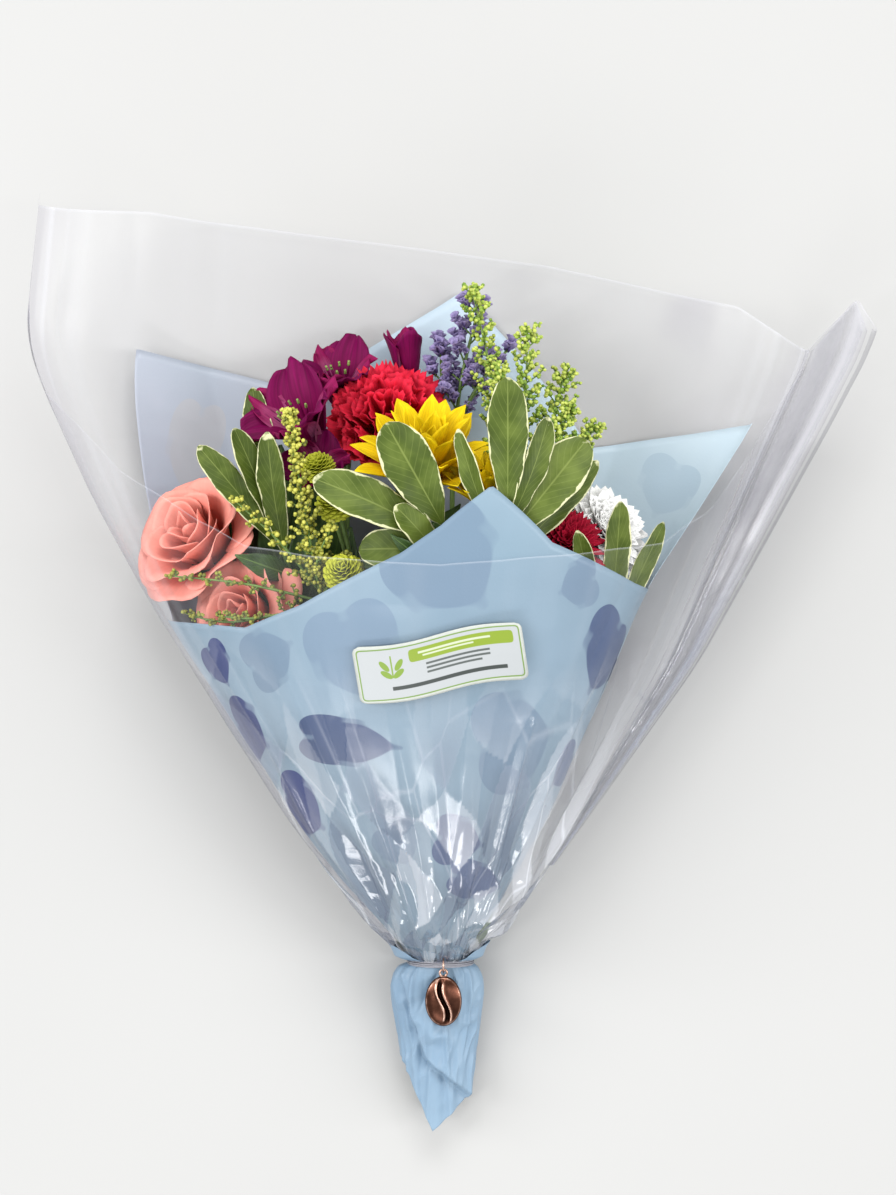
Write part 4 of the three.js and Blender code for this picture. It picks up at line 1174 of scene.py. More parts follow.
# %% Finish the petals
def petal_finish(name, base, body, tip, veins, rough, glow, streak=None):
    """A petal: base, body and tip colours along it, veins across it, and light through it."""
    material, add = new_material(name)
    along = add("UVMap", uv_map="along")
    spot = add("SeparateXYZ", {"Vector": along})
    place = add("TexCoord").outputs["Object"]
    tone = add("Attribute", attribute_name="tone").outputs["Fac"]
    cloud = add("TexNoise", {"Vector": place, "Scale": 1 / 0.006, "Detail": 3})
    uneven = add("Math", {0: cloud, 1: 0.3, 2: spot.outputs["Y"]}, operation="MULTIPLY_ADD")
    colour = add("ValToRGB", {"Fac": uneven}, stops=[(0.05, base), (0.45, body), (1.0, tip)])
    stretched = add("Mapping", {"Vector": along, "Scale": (26, 1.6, 1)})
    lines = add("TexNoise", {"Vector": stretched, "Scale": 1.0, "Detail": 2})
    dark = add("MapRange", {"Value": lines, "From Min": 0.35, "From Max": 0.7, "To Min": 1.0 - 0.45 * veins,
                            "To Max": 1.0 + 0.25 * veins})
    shift = add("MapRange", {"Value": tone, "To Min": 0.86, "To Max": 1.14})
    light = add("Math", {0: dark, 1: shift}, operation="MULTIPLY")
    shaded = add("VectorMath", {0: colour, 3: light}, operation="SCALE").outputs["Vector"]
    if streak:
        # Dashes along the petal: stretched cells, shown only on its lower, paler part.
        dash = add("Mapping", {"Vector": along, "Scale": (13, 4.5, 1)})
        cells = add("TexVoronoi", {"Vector": dash, "Scale": 1.0})
        mark = add("MapRange", {"Value": cells, "From Min": 0.3, "From Max": 0.2})
        low = add("MapRange", {"Value": spot.outputs["Y"], "From Min": 0.78, "From Max": 0.6})
        both = add("Math", {0: mark, 1: low}, operation="MULTIPLY")
        shaded = add("MixRGB", {"Fac": both, "Color1": shaded, "Color2": linear(streak)})
    relief = add("Bump", {"Height": lines, "Strength": 0.45 * veins + 0.1, "Distance": 0.0006})
    dull = add("MapRange", {"Value": cloud, "To Min": rough - 0.08, "To Max": rough + 0.1})
    skin = add("BsdfPrincipled", {"Base Color": shaded, "Roughness": dull, "Normal": relief,
                                  "Specular IOR Level": 0.18})
    through = add("BsdfTranslucent", {"Color": shaded})
    petal = add("MixShader", {0: glow, 1: skin, 2: through})
    add("OutputMaterial", {"Surface": petal})
    return material


ROSE = petal_finish("coral_rose_petal", "F83E2C", "FF7866", "FFA898", 0.1, 0.5, 0.08)
CARNATION = petal_finish("red_carnation_petal", "AC0016", "E60828", "F42C4A", 0.45, 0.6, 0.25)
YELLOW = petal_finish("yellow_chrysanthemum_petal", "F09600", "FFCC00", "FFDE12", 0.4, 0.6, 0.15)
WHITE = petal_finish("white_chrysanthemum_petal", "E6E8CC", "FAFAF6", "FFFFFD", 0.12, 0.55, 0.12)
DARK_RED = petal_finish("dark_red_chrysanthemum_petal", "4C0010", "96001E", "C01438", 0.5, 0.6, 0.2)
MAGENTA = petal_finish("magenta_alstroemeria_petal", "A8246C", "8C0552", "7E0450", 0.6, 0.6, 0.25)
MAGENTA_INNER = petal_finish("streaked_alstroemeria_petal", "F0C4D8", "C870A0", "981458", 0.5, 0.6, 0.25,
                             streak="3E0630")
LIME = petal_finish("lime_button_floret", "8C9A12", "BECB22", "D9DE4A", 0.3, 0.6, 0.25)
LAVENDER = petal_finish("lavender_statice_calyx", "54447E", "8271AE", "B0A2D2", 0.4, 0.7, 0.25)
CALYX = foliage_finish("pale_green_calyx", "5E7A34", "7C9646", "9CB060", "A9BC78")

# %% [markdown]
# ## Roses
#
# A rose is a spiral. The heart petals wrap almost right round each other, and each one further out covers
# less of a turn, leans out more and rolls its lip back. A petal is drawn as a part of a cup: its columns go
# round the flower, and its rows go up the cup's wall and over the lip. The edges are lowered at the
# corners, which gives the broad rounded petal, and a small pinch at the middle gives its point.


# %% Open a rose
def rose_petal(turn, span, foot, wall, top, lean, lip, pick):
    """One petal of the spiral. Lengths are in millimetres, for a rose 54 across."""
    phase = pick.uniform(0, 6)
    tuck = pick.uniform(0.8, 1.6)
    wave = pick.uniform(0.4, 1.0)
    peak = pick.uniform(-0.25, 0.25)

    def place(u, v):
        across = 2 * u - 1
        share = v * (1 - 0.24 * abs(across) ** 2.4)
        reach = foot + (wall - foot) * math.sin(min(1, share * 1.05) * math.pi / 2) ** 0.8 + lean * share ** 2
        height = -18 + (top + 18) * share ** 0.9
        over = max(0, share - 0.6) / 0.4
        roll = lip * (0.5 + 0.9 * min(1, abs(across - peak) * 1.3)) * over
        reach += roll * over ** 0.4
        height -= 0.7 * roll * over ** 1.2
        point = max(0, 1 - abs(across - peak) * 2.4) * over ** 2
        reach += point * 1.2
        height += point * 1.3
        reach += tuck * across + wave * math.sin(across * 5 + phase) * share ** 3
        height += wave * 1.2 * math.cos(across * 4.2 + phase) * share ** 3
        angle = turn + across * span / 2 * (0.4 + 0.6 * math.sin(min(1, share * 1.35) * math.pi / 2))
        return Vector((reach * math.cos(angle), reach * math.sin(angle), height))

    return place


# Each ring: petals, the degrees that each covers, radius at the foot and wall, height, lean, lip.
ROSE_RINGS = [(3, 165, 1.2, 3.8, 12.5, 0.2, 0.6), (3, 150, 2.2, 7.4, 13.5, 0.8, 1.8),
              (4, 135, 3.0, 11.5, 13.0, 1.8, 3.8), (4, 124, 3.4, 15.0, 10.5, 3.4, 6.6),
              (5, 112, 3.6, 16.6, 5.0, 5.8, 8.4)]


def rose(name, at, face, radius, seed):
    """A whole rose: the spiral, five narrow green sepals, and the hip under them."""
    pick = random.Random(seed)
    shape = new_shape()
    turn = 0
    for ring, (count, span, foot, wall, top, lean, lip) in enumerate(ROSE_RINGS):
        for i in range(count):
            turn += 2 * math.pi / count * pick.uniform(0.88, 1.12)
            petal = rose_petal(turn, math.radians(span * pick.uniform(0.92, 1.1)), foot, wall,
                               top + pick.uniform(-1.4, 1.4), lean * pick.uniform(0.8, 1.25),
                               lip * pick.uniform(0.8, 1.2), pick)
            patch(shape, 14, 14, petal, pick.uniform(0.25, 0.75) - 0.1 * (ring < 2))
        turn += 0.6
    for i in range(5):
        angle = i * 1.257
        tip = (20 * math.cos(angle), 20 * math.sin(angle), -15 + pick.uniform(-3, 3))
        sepal = leaf_place((3 * math.cos(angle), 3 * math.sin(angle), -19), tip, 6, -2, fullness=0.7, point=1)
        patch(shape, 4, 8, sepal, pick.uniform(0.2, 0.6), paint=1)
    bmesh.ops.scale(shape, vec=Vector((1, 1, 1)) * (radius / 27), verts=shape.verts)
    foot = -0.85 * radius
    stalk(shape, [(0, 0, foot), (0, 0, foot + 3), (0, 0, foot + 7)], 2.2, 4.2, 10, 8, 0.4, 1)
    bmesh.ops.transform(shape, verts=shape.verts, matrix=facing(at, face, pick.uniform(0, 6)))
    return new_piece(name + "_petals", shape, [ROSE, CALYX], [name], wall=0.35, thin=[0])


rose("rose_coral_1", (-119, 208, 43), (-0.55, 0.45, 0.7), 32, 11)
rose("rose_coral_2", (-94, 172, 55), (-0.5, 0.1, 0.86), 27, 12)

# %% [markdown]
# ## Carnation
#
# A carnation's petals are fans with saw-toothed edges, crumpled together into a dome out of one narrow
# calyx. The fans are set by the golden angle, which spreads any number of them evenly, from upright in the
# middle to level at the rim. Each one is rolled about its own middle line and rippled, so that the teeth
# show in layers.


# %% Fill a carnation
def fan_place(root, way, normal, length, wide, teeth, ripple, phase):
    """One fan petal from its root along way; normal is the side that its ripples lift towards."""
    side = way.cross(normal).normalized()

    def place(u, v):
        across = 2 * u - 1
        tooth = abs(((u * teeth) % 1) * 2 - 1)
        reach = length * v * (1 - 0.22 * across * across * v - 0.09 * tooth * v ** 4)
        half = 1.0 + wide * v ** 1.5
        lift = ripple * v * v * math.sin(across * 5 + phase)
        lift += 0.35 * ripple * v ** 3 * math.sin(across * 13 + phase)
        return root + way * reach + side * (across * half) + normal * lift

    return place


def carnation(name, at, face, radius, seed):
    pick = random.Random(seed)
    shape = new_shape()
    count = 50
    for i in range(count):
        share = i / (count - 1)
        rise = math.radians(86 - 92 * share ** 0.75)
        angle = i * GOLDEN_ANGLE + pick.uniform(-0.2, 0.2)
        tip = Vector((math.cos(rise) * math.cos(angle) * radius, math.cos(rise) * math.sin(angle) * radius,
                      math.sin(rise) * radius * 0.52 + pick.uniform(-1.5, 1.5)))
        root = Vector((0, 0, -13)) + Vector((tip.x, tip.y, 0)) * 0.12
        way = tip - root
        length = way.length * pick.uniform(0.94, 1.04)
        way.normalize()
        level = Vector((-math.sin(angle), math.cos(angle), 0))
        normal = level.cross(way).normalized() * -1
        roll = Matrix.Rotation(math.radians(pick.uniform(-38, 38)), 3, way)
        fan = fan_place(root, way, roll @ normal, length, pick.uniform(10, 14.5), pick.choice((9, 10, 11)),
                        pick.uniform(1.8, 3.4), pick.uniform(0, 6))
        patch(shape, 18, 8, fan, pick.uniform(0.1, 0.9))
    stalk(shape, [(0, 0, -radius), (0, 0, -20), (0, 0, -10)], 2.6, 5.4, 12, 10, 0.4, 1)
    bmesh.ops.transform(shape, verts=shape.verts, matrix=facing(at, face))
    return new_piece(name + "_petals", shape, [CARNATION, CALYX], [name], wall=0.25, thin=[0])


carnation("carnation_red", (-26, 267, 46), (-0.1, 0.5, 0.86), 31, 21)

# %% [markdown]
# ## Chrysanthemums
#
# These are daisies that are all petal. A petal is a long narrow scoop whose middle line bends from one
# angle to another on its way out. The kinds differ in how many there are, how long and wide, and how
# steeply each ring stands: the yellow ones are large and pointed, the white and the dark-red ones are
# narrow and blunt in a dome.


# %% Ring the chrysanthemums
def bent_line(start, length, low, high, delay=1.0):
    """A petal's middle line from start, a reach and a height. It rises at low degrees there, and at high
    degrees at its tip. delay above 1 puts the bend off towards the tip.
    """
    steps = 16
    path = [start]
    for i in range(steps):
        steep = math.radians(low + (high - low) * ((i + 0.5) / steps) ** delay)
        path.append((path[-1][0] + math.cos(steep) * length / steps,
                     path[-1][1] + math.sin(steep) * length / steps))

    def spot_at(share):
        i = min(int(share * steps), steps - 1)
        t = share * steps - i
        return [a + (b - a) * t for a, b in zip(path[i], path[i + 1])]

    return spot_at


def round_head(angle, reach, side, height):
    """A spot on a head: reach out from its middle along an angle, and a little to the side."""
    return Vector((reach * math.cos(angle) - side * math.sin(angle),
                   reach * math.sin(angle) + side * math.cos(angle), height))


def ray_place(angle, start, length, wide, low, high, scoop, pointed, twist):
    """A ray petal at an angle round the head. Its base and tip rise at low and high degrees."""
    line = bent_line((start, 0.0), length, low, high)

    def place(u, v):
        across = 2 * u - 1
        reach, height = line(v)
        steep = math.radians(low + (high - low) * v)
        swell = 0.42 + 0.58 * math.sin(min(1, v / 0.62) * math.pi / 2)
        close = max(0, (v - 0.55) / 0.45)
        half = wide / 2 * swell * max(0.03, 1 - close ** pointed)
        cup = scoop * across * across * half
        reach -= math.sin(steep) * cup
        height += math.cos(steep) * cup
        return round_head(angle, reach, across * half + twist * v * v, height)

    return place


def ringed_head(name, at, face, radius, rings, finish, seed, pointed, base=0.5):
    """A head of rings: (count, length, width, low, high, scoop) each, lengths as shares of the radius."""
    pick = random.Random(seed)
    shape = new_shape()
    for ring, (count, length, wide, low, high, scoop) in enumerate(rings):
        for i in range(count):
            angle = 2 * math.pi * (i + 0.5 * (ring % 2) + pick.uniform(-0.16, 0.16)) / count
            petal = ray_place(angle, radius * 0.06, length * radius * pick.uniform(0.93, 1.06),
                              wide * radius * pick.uniform(0.9, 1.1), low + pick.uniform(-4, 4),
                              high + pick.uniform(-7, 7), scoop * pick.uniform(0.8, 1.2), pointed,
                              pick.uniform(-0.05, 0.05) * radius)
            verts = patch(shape, 6, 10, petal, pick.uniform(0.2, 0.8))
            bmesh.ops.translate(shape, verts=verts, vec=(0, 0, -radius * 0.16 + radius * 0.035 * ring))
    foot = -base * radius
    stalk(shape, [(0, 0, foot), (0, 0, foot * 0.7), (0, 0, min(foot * 0.35, -2))], 2.2, 0.16 * radius + 1.5,
          10, 8, 0.4, 1)
    bmesh.ops.transform(shape, verts=shape.verts, matrix=facing(at, face))
    return new_piece(name + "_petals", shape, [finish, CALYX], [name], wall=0.3, thin=[0])


OPEN_RINGS = [(9, 1.0, 0.35, 36, 18, 0.35), (9, 0.98, 0.34, 54, 38, 0.4), (8, 0.93, 0.32, 68, 58, 0.45),
              (6, 0.82, 0.29, 80, 74, 0.5), (4, 0.62, 0.22, 86, 88, 0.6)]
CUP_RINGS = [(10, 1.0, 0.34, 38, 24, 0.35), (11, 0.98, 0.33, 58, 46, 0.4), (10, 0.92, 0.31, 70, 62, 0.45),
             (8, 0.82, 0.28, 80, 78, 0.5), (5, 0.66, 0.24, 86, 90, 0.6)]
ringed_head("mum_yellow_1", (-7, 238, 80), (0.06, 0.8, 0.5), 41, OPEN_RINGS, YELLOW, 31, 2.6)
ringed_head("mum_yellow_2", (22, 224, 92), (0.15, 0.8, 0.35), 29, CUP_RINGS, YELLOW, 32, 2.3,
            base=0.3)


def domed_head(name, at, face, radius, count, finish, seed, wide, pointed):
    """A head of many narrow rays, set by the golden angle from the middle out."""
    pick = random.Random(seed)
    shape = new_shape()
    for i in range(count):
        share = (i + 0.5) / count
        low = 84 - 88 * share ** 0.8
        length = radius * (0.3 + 0.7 * share ** 0.55) * pick.uniform(0.94, 1.05)
        petal = ray_place(i * GOLDEN_ANGLE, radius * 0.05 * share, length,
                          wide * radius * pick.uniform(0.85, 1.15), low + 6, low - 12 + pick.uniform(-7, 7),
                          0.55, pointed, pick.uniform(-0.05, 0.05) * radius)
        verts = patch(shape, 4, 7, petal, pick.uniform(0.2, 0.8))
        bmesh.ops.translate(shape, verts=verts, vec=(0, 0, radius * 0.3 * (0.1 - share ** 1.5)))
    stalk(shape, [(0, 0, -radius * 0.5), (0, 0, -radius * 0.36), (0, 0, -radius * 0.2)], 2.2, radius * 0.22,
          10, 8, 0.4, 1)
    bmesh.ops.transform(shape, verts=shape.verts, matrix=facing(at, face))
    return new_piece(name + "_petals", shape, [finish, CALYX], [name], wall=0.25, thin=[0])


domed_head("mum_white", (76, 211, 48), (0.4, 0.45, 0.8), 29, 190, WHITE, 33, 0.21, 6.0)
domed_head("mum_red", (58, 204, 78), (0.2, 0.45, 0.87), 24, 150, DARK_RED, 34, 0.17, 3.0)

# Each stem: its flower, its slot in the bundle, its end, and how many hidden leaves it carries.
STEMS = [("rose_coral_1", (-1.5, -1), (-109.7, 199.5, 25), 13), ("rose_coral_2", (-2, 0), (-86, 166, 35), 16),
         ("carnation_red", (0, 0), (-23.2, 258, 20), 12), ("mum_yellow_1", (-0.5, 1), (-8.5, 222, 69), 14),
         ("mum_yellow_2", (0.5, 1), (22.3, 221, 95), 9), ("mum_white", (1.5, -1), (70.4, 202.4, 36.4), 12),
         ("mum_red", (1.5, 1), (58, 202, 69), 12)]
for stem_seed, (stem_name, stem_slot, stem_end, stem_leaves) in enumerate(STEMS, 41):
    stem_piece(stem_name, stem_slot, stem_end, stem_leaves, stem_seed,
               ROSE_LEAVES if stem_name == "rose_coral_2" else ())

# %% [markdown]
# ## Alstroemeria
#
# One stem forks to three open blooms and a bud. A bloom has six tepals on a funnel: three broad ones
# outside, with a small point at the tip, and three narrower ones inside, with a pale base and dark dashes.
# Each starts upright and then flares, like the chrysanthemum's rays but much broader and ruffled at its
# rim. The bud is two turns of the rose's petals, wrapped tight.


# %% Flare the alstroemeria
def tepal_place(angle, foot, length, wide, low, high, ruffle, phase):
    """A broad tepal: up the funnel at low degrees, and flared to high degrees at its ruffled rim."""
    line = bent_line((1.2, foot), length, low, high, 1.4)

    def place(u, v):
        across = 2 * u - 1
        share = v * (1 - 0.1 * abs(across) ** 2 + 0.05 * max(0, 1 - abs(across) * 3) * v)
        reach, height = line(share)
        half = wide / 2 * (0.2 + 0.8 * math.sin(min(1, v ** 1.2 / 0.72) * math.pi / 2)) * (1 - 0.42 * v ** 7)
        steep = math.radians(low + (high - low) * v)
        cup = 0.42 * (1 - 0.6 * v) * across * across * half + ruffle * math.sin(across * 7 + phase) * v ** 3
        reach -= math.sin(steep) * cup
        height += math.cos(steep) * cup
        return round_head(angle, reach, across * half, height)

    return place


def alstroemeria_bloom(name, at, face, radius, stand, seed):
    """A bloom with its stamens. stand is how steeply its rim rises, in degrees."""
    pick = random.Random(seed)
    shape = new_shape()
    foot = -1.25 * radius
    for i in range(6):
        inner = i % 2
        angle = i * math.pi / 3 + pick.uniform(-0.1, 0.1)
        tepal = tepal_place(angle, foot, radius * 1.35 * (1.5 - 0.08 * inner) * pick.uniform(0.93, 1.05),
                            radius * (0.95 if inner else 1.4), 82, stand + pick.uniform(-14, 10),
                            pick.uniform(1.2, 2.6), pick.uniform(0, 6))
        patch(shape, 14, 16, tepal, pick.uniform(0.2, 0.85), paint=inner)
    for i in range(6):
        angle = i * math.pi / 3 + 0.4
        lean = radius * pick.uniform(0.2, 0.34)
        tip = (lean * math.cos(angle), lean * math.sin(angle), radius * pick.uniform(0.0, 0.2))
        stalk(shape, [(0, 0, foot + 2), (tip[0] * 0.4, tip[1] * 0.4, -radius * 0.5), tip], 0.4, 0.3, 6, 8,
              0.5, 0)
        stalk(shape, [tip, (tip[0] * 1.06, tip[1] * 1.06, tip[2] + 1.2),
                      (tip[0] * 1.1, tip[1] * 1.1, tip[2] + 2.4)], 0.75, 0.6, 6, 5, 0.2, 2)
    stalk(shape, [(0, 0, -1.3 * radius), (0, 0, foot + 1.5), (0, 0, foot + 4)], 1.3, 2.2, 8, 6, 0.4, 2)
    bmesh.ops.transform(shape, verts=shape.verts, matrix=facing(at, face))
    return new_piece(name + "_tepals", shape, [MAGENTA, MAGENTA_INNER, CALYX], [name],
                     wall=0.3, thin=[0, 1])


# Each bloom: where it is, where it faces, its radius, its rise at the rim, and how far back its foot is.
LILIES = [((-70, 268, 64), (-0.4, 0.6, 0.6), 23, 18, 24), ((-50, 290, 30), (-0.1, 0.8, 0.5), 19, 26, 20),
          ((-60, 243, 64), (-0.1, 0.5, 0.85), 16, 18, 15)]
BUD = (-18, 299, 24), (-0.1, 0.9, 0.2)
for lily, (lily_at, lily_face, lily_radius, lily_stand, _) in enumerate(LILIES, 1):
    alstroemeria_bloom(f"alstroemeria_lily_{lily}", lily_at, lily_face, lily_radius, lily_stand, 50 + lily)

bud_pick = random.Random(54)
bud_shape = new_shape()
for bud_ring in range(6):
    bud_wall = 5.2 if bud_ring < 3 else 7.4
    bud_petal = rose_petal(bud_ring * 2.1, 2.3, 1.6, bud_wall, 12, 0.4, 1.6, bud_pick)
    patch(bud_shape, 10, 12, bud_petal, bud_pick.uniform(0.35, 0.9), paint=0 if bud_ring > 2 else 1)
stalk(bud_shape, [(0, 0, -17), (0, 0, -15), (0, 0, -12)], 1.4, 2.0, 8, 6, 0.4, 2)
bmesh.ops.transform(bud_shape, verts=bud_shape.verts, matrix=facing(*BUD))
new_piece("alstroemeria_bud_4_tepals", bud_shape, [MAGENTA, MAGENTA_INNER, CALYX],
          ["alstroemeria_bud_4"], wall=0.3, thin=[0, 1])


def forked_stem(name, slot, fork, branches, leaves, seed):
    """A stem that forks: branches are lists of points from the fork to the foot of each head."""
    route = stem_route(slot_at(*slot), fork)
    shape = new_shape()
    stalk(shape, route, STEM_RADIUS, STEM_RADIUS * 0.85, 10, 40, 0.5, 0, 0.12)
    for points in branches:
        stalk(shape, [fork, *points], STEM_RADIUS * 0.7, STEM_RADIUS * 0.55, 8, 20, 0.5, 0)
    add_foliage(shape, route, leaves, seed, 0.55)
    return new_piece(name + "_forked", shape, [STALK, DARK_LEAF], [name], wall=0.3, thin=[1])


def foot_of(at, face, reach):
    """Where a head's foot is: back from its middle along the way that it faces."""
    return Vector(at) - Vector(face).normalized() * reach


forked_stem("alstroemeria_stem", (-0.5, -1), (-46, 205, 36),
            [[foot_of(at, face, back)] for at, face, _, _, back in LILIES]
            + [[(-42, 270, 22), foot_of(*BUD, 15)]], 16, 55)

# %% [markdown]
# ## Button chrysanthemums, statice and goldenrod
#
# The small flowers would be far too many faces if each had a real one's detail, so each kind is one tiny
# shape of a few dozen faces at most, repeated many times with different sizes and turns: a scoop for the
# button's florets, a five-lobed papery cup for statice, a little egg for goldenrod's buds.

# %% Button chrysanthemums
BUTTONS = [((-49, 224, 84), (-0.2, 0.7, 0.6), 10.5), ((-58, 241, 76), (-0.3, 0.8, 0.4), 8.5),
           ((-45, 191, 98), (-0.2, 0.5, 0.8), 10)]


def button(name, at, face, radius, seed):
    pick = random.Random(seed)
    shape = new_shape()
    count = 130
    for i in range(count):
        share = (i + 0.5) / count
        rise = math.radians(88 - 118 * share ** 0.75)
        angle = i * GOLDEN_ANGLE
        way = Vector((math.cos(rise) * math.cos(angle), math.cos(rise) * math.sin(angle),
                      math.sin(rise) * 0.8))
        root = way * radius * 0.35
        level = Vector((-math.sin(angle), math.cos(angle), 0))
        normal = level.cross(way.normalized()) * -1
        scoop = fan_place(root, way.normalized(), normal, radius * pick.uniform(0.6, 0.72), radius * 0.13,
                          1, 0.3, 0)
        patch(shape, 3, 4, scoop, 0.25 + 0.5 * share + pick.uniform(-0.15, 0.15))
    stalk(shape, [(0, 0, -0.8 * radius), (0, 0, -0.6 * radius), (0, 0, -0.1 * radius)], 1.4, radius * 0.5,
          10, 8, 0.4, 1)
    bmesh.ops.transform(shape, verts=shape.verts, matrix=facing(at, face))
    return new_piece(name + "_florets", shape, [LIME, CALYX], [name], wall=0.25, thin=[0])


for button_number, (button_at, button_face, button_radius) in enumerate(BUTTONS, 1):
    button(f"button_pom_pom_{button_number}", button_at, button_face, button_radius, 60 + button_number)

forked_stem("button_pom_stem", (-1, 2), (-34, 165, 78),
            [[foot_of(at, face, radius * 0.75)] for at, face, radius in BUTTONS], 18, 64)


# %% Small patterns for stamping
def pattern_mesh(name, shape):
    """Keeps a small shape as a mesh that can be stamped."""
    mesh = bpy.data.meshes.new(name)
    shape.to_mesh(mesh)
    shape.free()
    return mesh


def calyx_place(u, v):
    """A papery cup 1 across, with five lobes at its rim."""
    turn = 2 * math.pi * u
    lobe = 0.5 + 0.5 * math.cos(turn * 5)
    reach = 0.1 + 0.4 * v ** 1.4 * (0.8 + 0.35 * lobe * v)
    return Vector((reach * math.cos(turn), reach * math.sin(turn), 0.95 * v ** 0.8 - 0.1 * lobe * v))


calyx_shape = new_shape()
patch(calyx_shape, 10, 3, calyx_place, 0.5)
bmesh.ops.remove_doubles(calyx_shape, verts=calyx_shape.verts, dist=0.001)
CALYX_CUP = pattern_mesh("calyx_pattern", calyx_shape)


def bud_pattern(name, tone):
    """A little egg, 1 across and 1.2 long, of 20 triangles."""
    shape = new_shape()
    bmesh.ops.create_icosphere(shape, subdivisions=1, radius=0.5)
    bmesh.ops.scale(shape, vec=(1, 1, 1.2), verts=shape.verts)
    tones = shape.verts.layers.float["tone"]
    for vert in shape.verts:
        vert[tones] = tone + 0.3 * vert.co.z
    return pattern_mesh(name, shape)


GREEN_BUDS = [bud_pattern(f"bud_pattern_{i}", tone) for i, tone in enumerate((0.25, 0.5, 0.8))]


def aimed(at, way, size, turn):
    """The matrix that stamps an upright pattern at a spot along a way."""
    aim = Vector(way).to_track_quat("Z", "Y").to_matrix().to_4x4()
    return Matrix.Translation(at) @ aim @ Matrix.Rotation(turn, 4, "Z") @ Matrix.Scale(size, 4)


# %% Statice
def statice_sprig():
    pick = random.Random(71)
    shape = new_shape()
    route = stem_route(slot_at(0.5, -1), (6, 255, 30))
    stalk(shape, route, STEM_RADIUS * 0.9, STEM_RADIUS * 0.6, 10, 36, 0.5, 1, 0.1)
    for start, end, radius, sides in (((6, 252, 30), (18, 319, 40), 13, 13),
                                      ((6, 250, 30), (0, 303, 28), 9, 8),
                                      ((10, 268, 34), (32, 300, 34), 8, 6)):
        line = [Vector(start), (Vector(start) + Vector(end)) / 2 + Vector((-2, 0, 2)), Vector(end)]
        stalk(shape, line, 1.1, 0.6, 6, 16, 0.5, 1)
        for i in range(sides):
            share = 0.22 + 0.78 * (i + 0.5) / sides
            root = smooth_line(line, share)
            angle = i * 2.4 + pick.uniform(-0.4, 0.4)
            way = Vector((math.cos(angle), 0.9, math.sin(angle))).normalized()
            reach = radius * pick.uniform(0.7, 1.1) * (1.1 - 0.5 * share)
            tip = root + way * reach
            tip.z = max(tip.z, 6)
            stalk(shape, [root, (root + tip) / 2, tip], 0.55, 0.4, 5, 6, 0.5, 1)
            for j in range(13):
                spot = root + (tip - root) * pick.uniform(0.45, 1.15)
                spot += Vector((pick.uniform(-2, 2), pick.uniform(-1.5, 2.5), pick.uniform(-2, 2)))
                lean = Vector((pick.uniform(-0.7, 0.7), 0.8, pick.uniform(-0.2, 1))) + way * 0.5
                stamp(shape, CALYX_CUP, aimed(spot, lean, pick.uniform(3.4, 5.2), pick.uniform(0, 6)))
    return new_piece("statice_sprig", shape, [LAVENDER, STALK], ["statice"], wall=0.12, thin=[0])


statice_sprig()


# %% Goldenrod
def bud_finish(name, deep, body, light):
    """Tight round buds: green below, yellow where they begin to open."""
    material, add = new_material(name)
    tone = add("Attribute", attribute_name="tone").outputs["Fac"]
    place = add("TexCoord").outputs["Object"]
    speck = add("TexNoise", {"Vector": place, "Scale": 1 / 0.004, "Detail": 2})
    mixed = add("Math", {0: speck, 1: 0.6, 2: tone}, operation="MULTIPLY_ADD")
    shade = add("ValToRGB", {"Fac": mixed}, stops=[(0.4, deep), (0.75, body), (1.0, light)])
    relief = add("Bump", {"Height": speck, "Strength": 0.4, "Distance": 0.0004})
    skin = add("BsdfPrincipled", {"Base Color": shade, "Roughness": 0.55, "Normal": relief})
    add("OutputMaterial", {"Surface": skin})
    return material


SPRAY_FLOOR = 4


def add_spray(shape, line, reach, sides, buds, size, pick, arch, patterns):
    """Side branches along a line, each arching up and carrying buds along it."""
    line = [Vector(point) for point in line]
    stalk(shape, line, 0.8, 0.35, 6, 20, 0.5, 1)
    for i in range(sides):
        share = (i + 0.5) / sides
        root = smooth_line(line, 0.12 + 0.88 * share)
        way = (smooth_line(line, min(1, share + 0.1)) - smooth_line(line, max(0, share - 0.1))).normalized()
        angle = i * 2.4 + pick.uniform(-0.3, 0.3)
        side = way.orthogonal().normalized()
        out = side * math.cos(angle) + side.cross(way) * math.sin(angle)
        length = reach * (1.05 - 0.75 * share) * pick.uniform(0.75, 1.15)
        middle = root + out * length * 0.55 + way * length * 0.35
        tip = root + out * length * 0.85 + way * length * (0.35 + arch)
        middle.z = max(middle.z, SPRAY_FLOOR)
        tip.z = max(tip.z, SPRAY_FLOOR)
        stalk(shape, [root, middle, tip], 0.4, 0.22, 4, 8, 0.4, 1)
        for j in range(buds):
            along = 0.15 + 0.85 * (j + 0.5) / buds
            spot = smooth_line([root, middle, tip], along)
            aside = Vector((pick.uniform(-1, 1), pick.uniform(-0.5, 1), pick.uniform(-1, 1))).normalized()
            bud = size * pick.uniform(0.75, 1.25) * (1.1 - 0.35 * along)
            pattern = pick.choice(patterns)
            stamp(shape, pattern, aimed(spot + aside * bud * 0.7, aside, bud, pick.uniform(0, 6)))


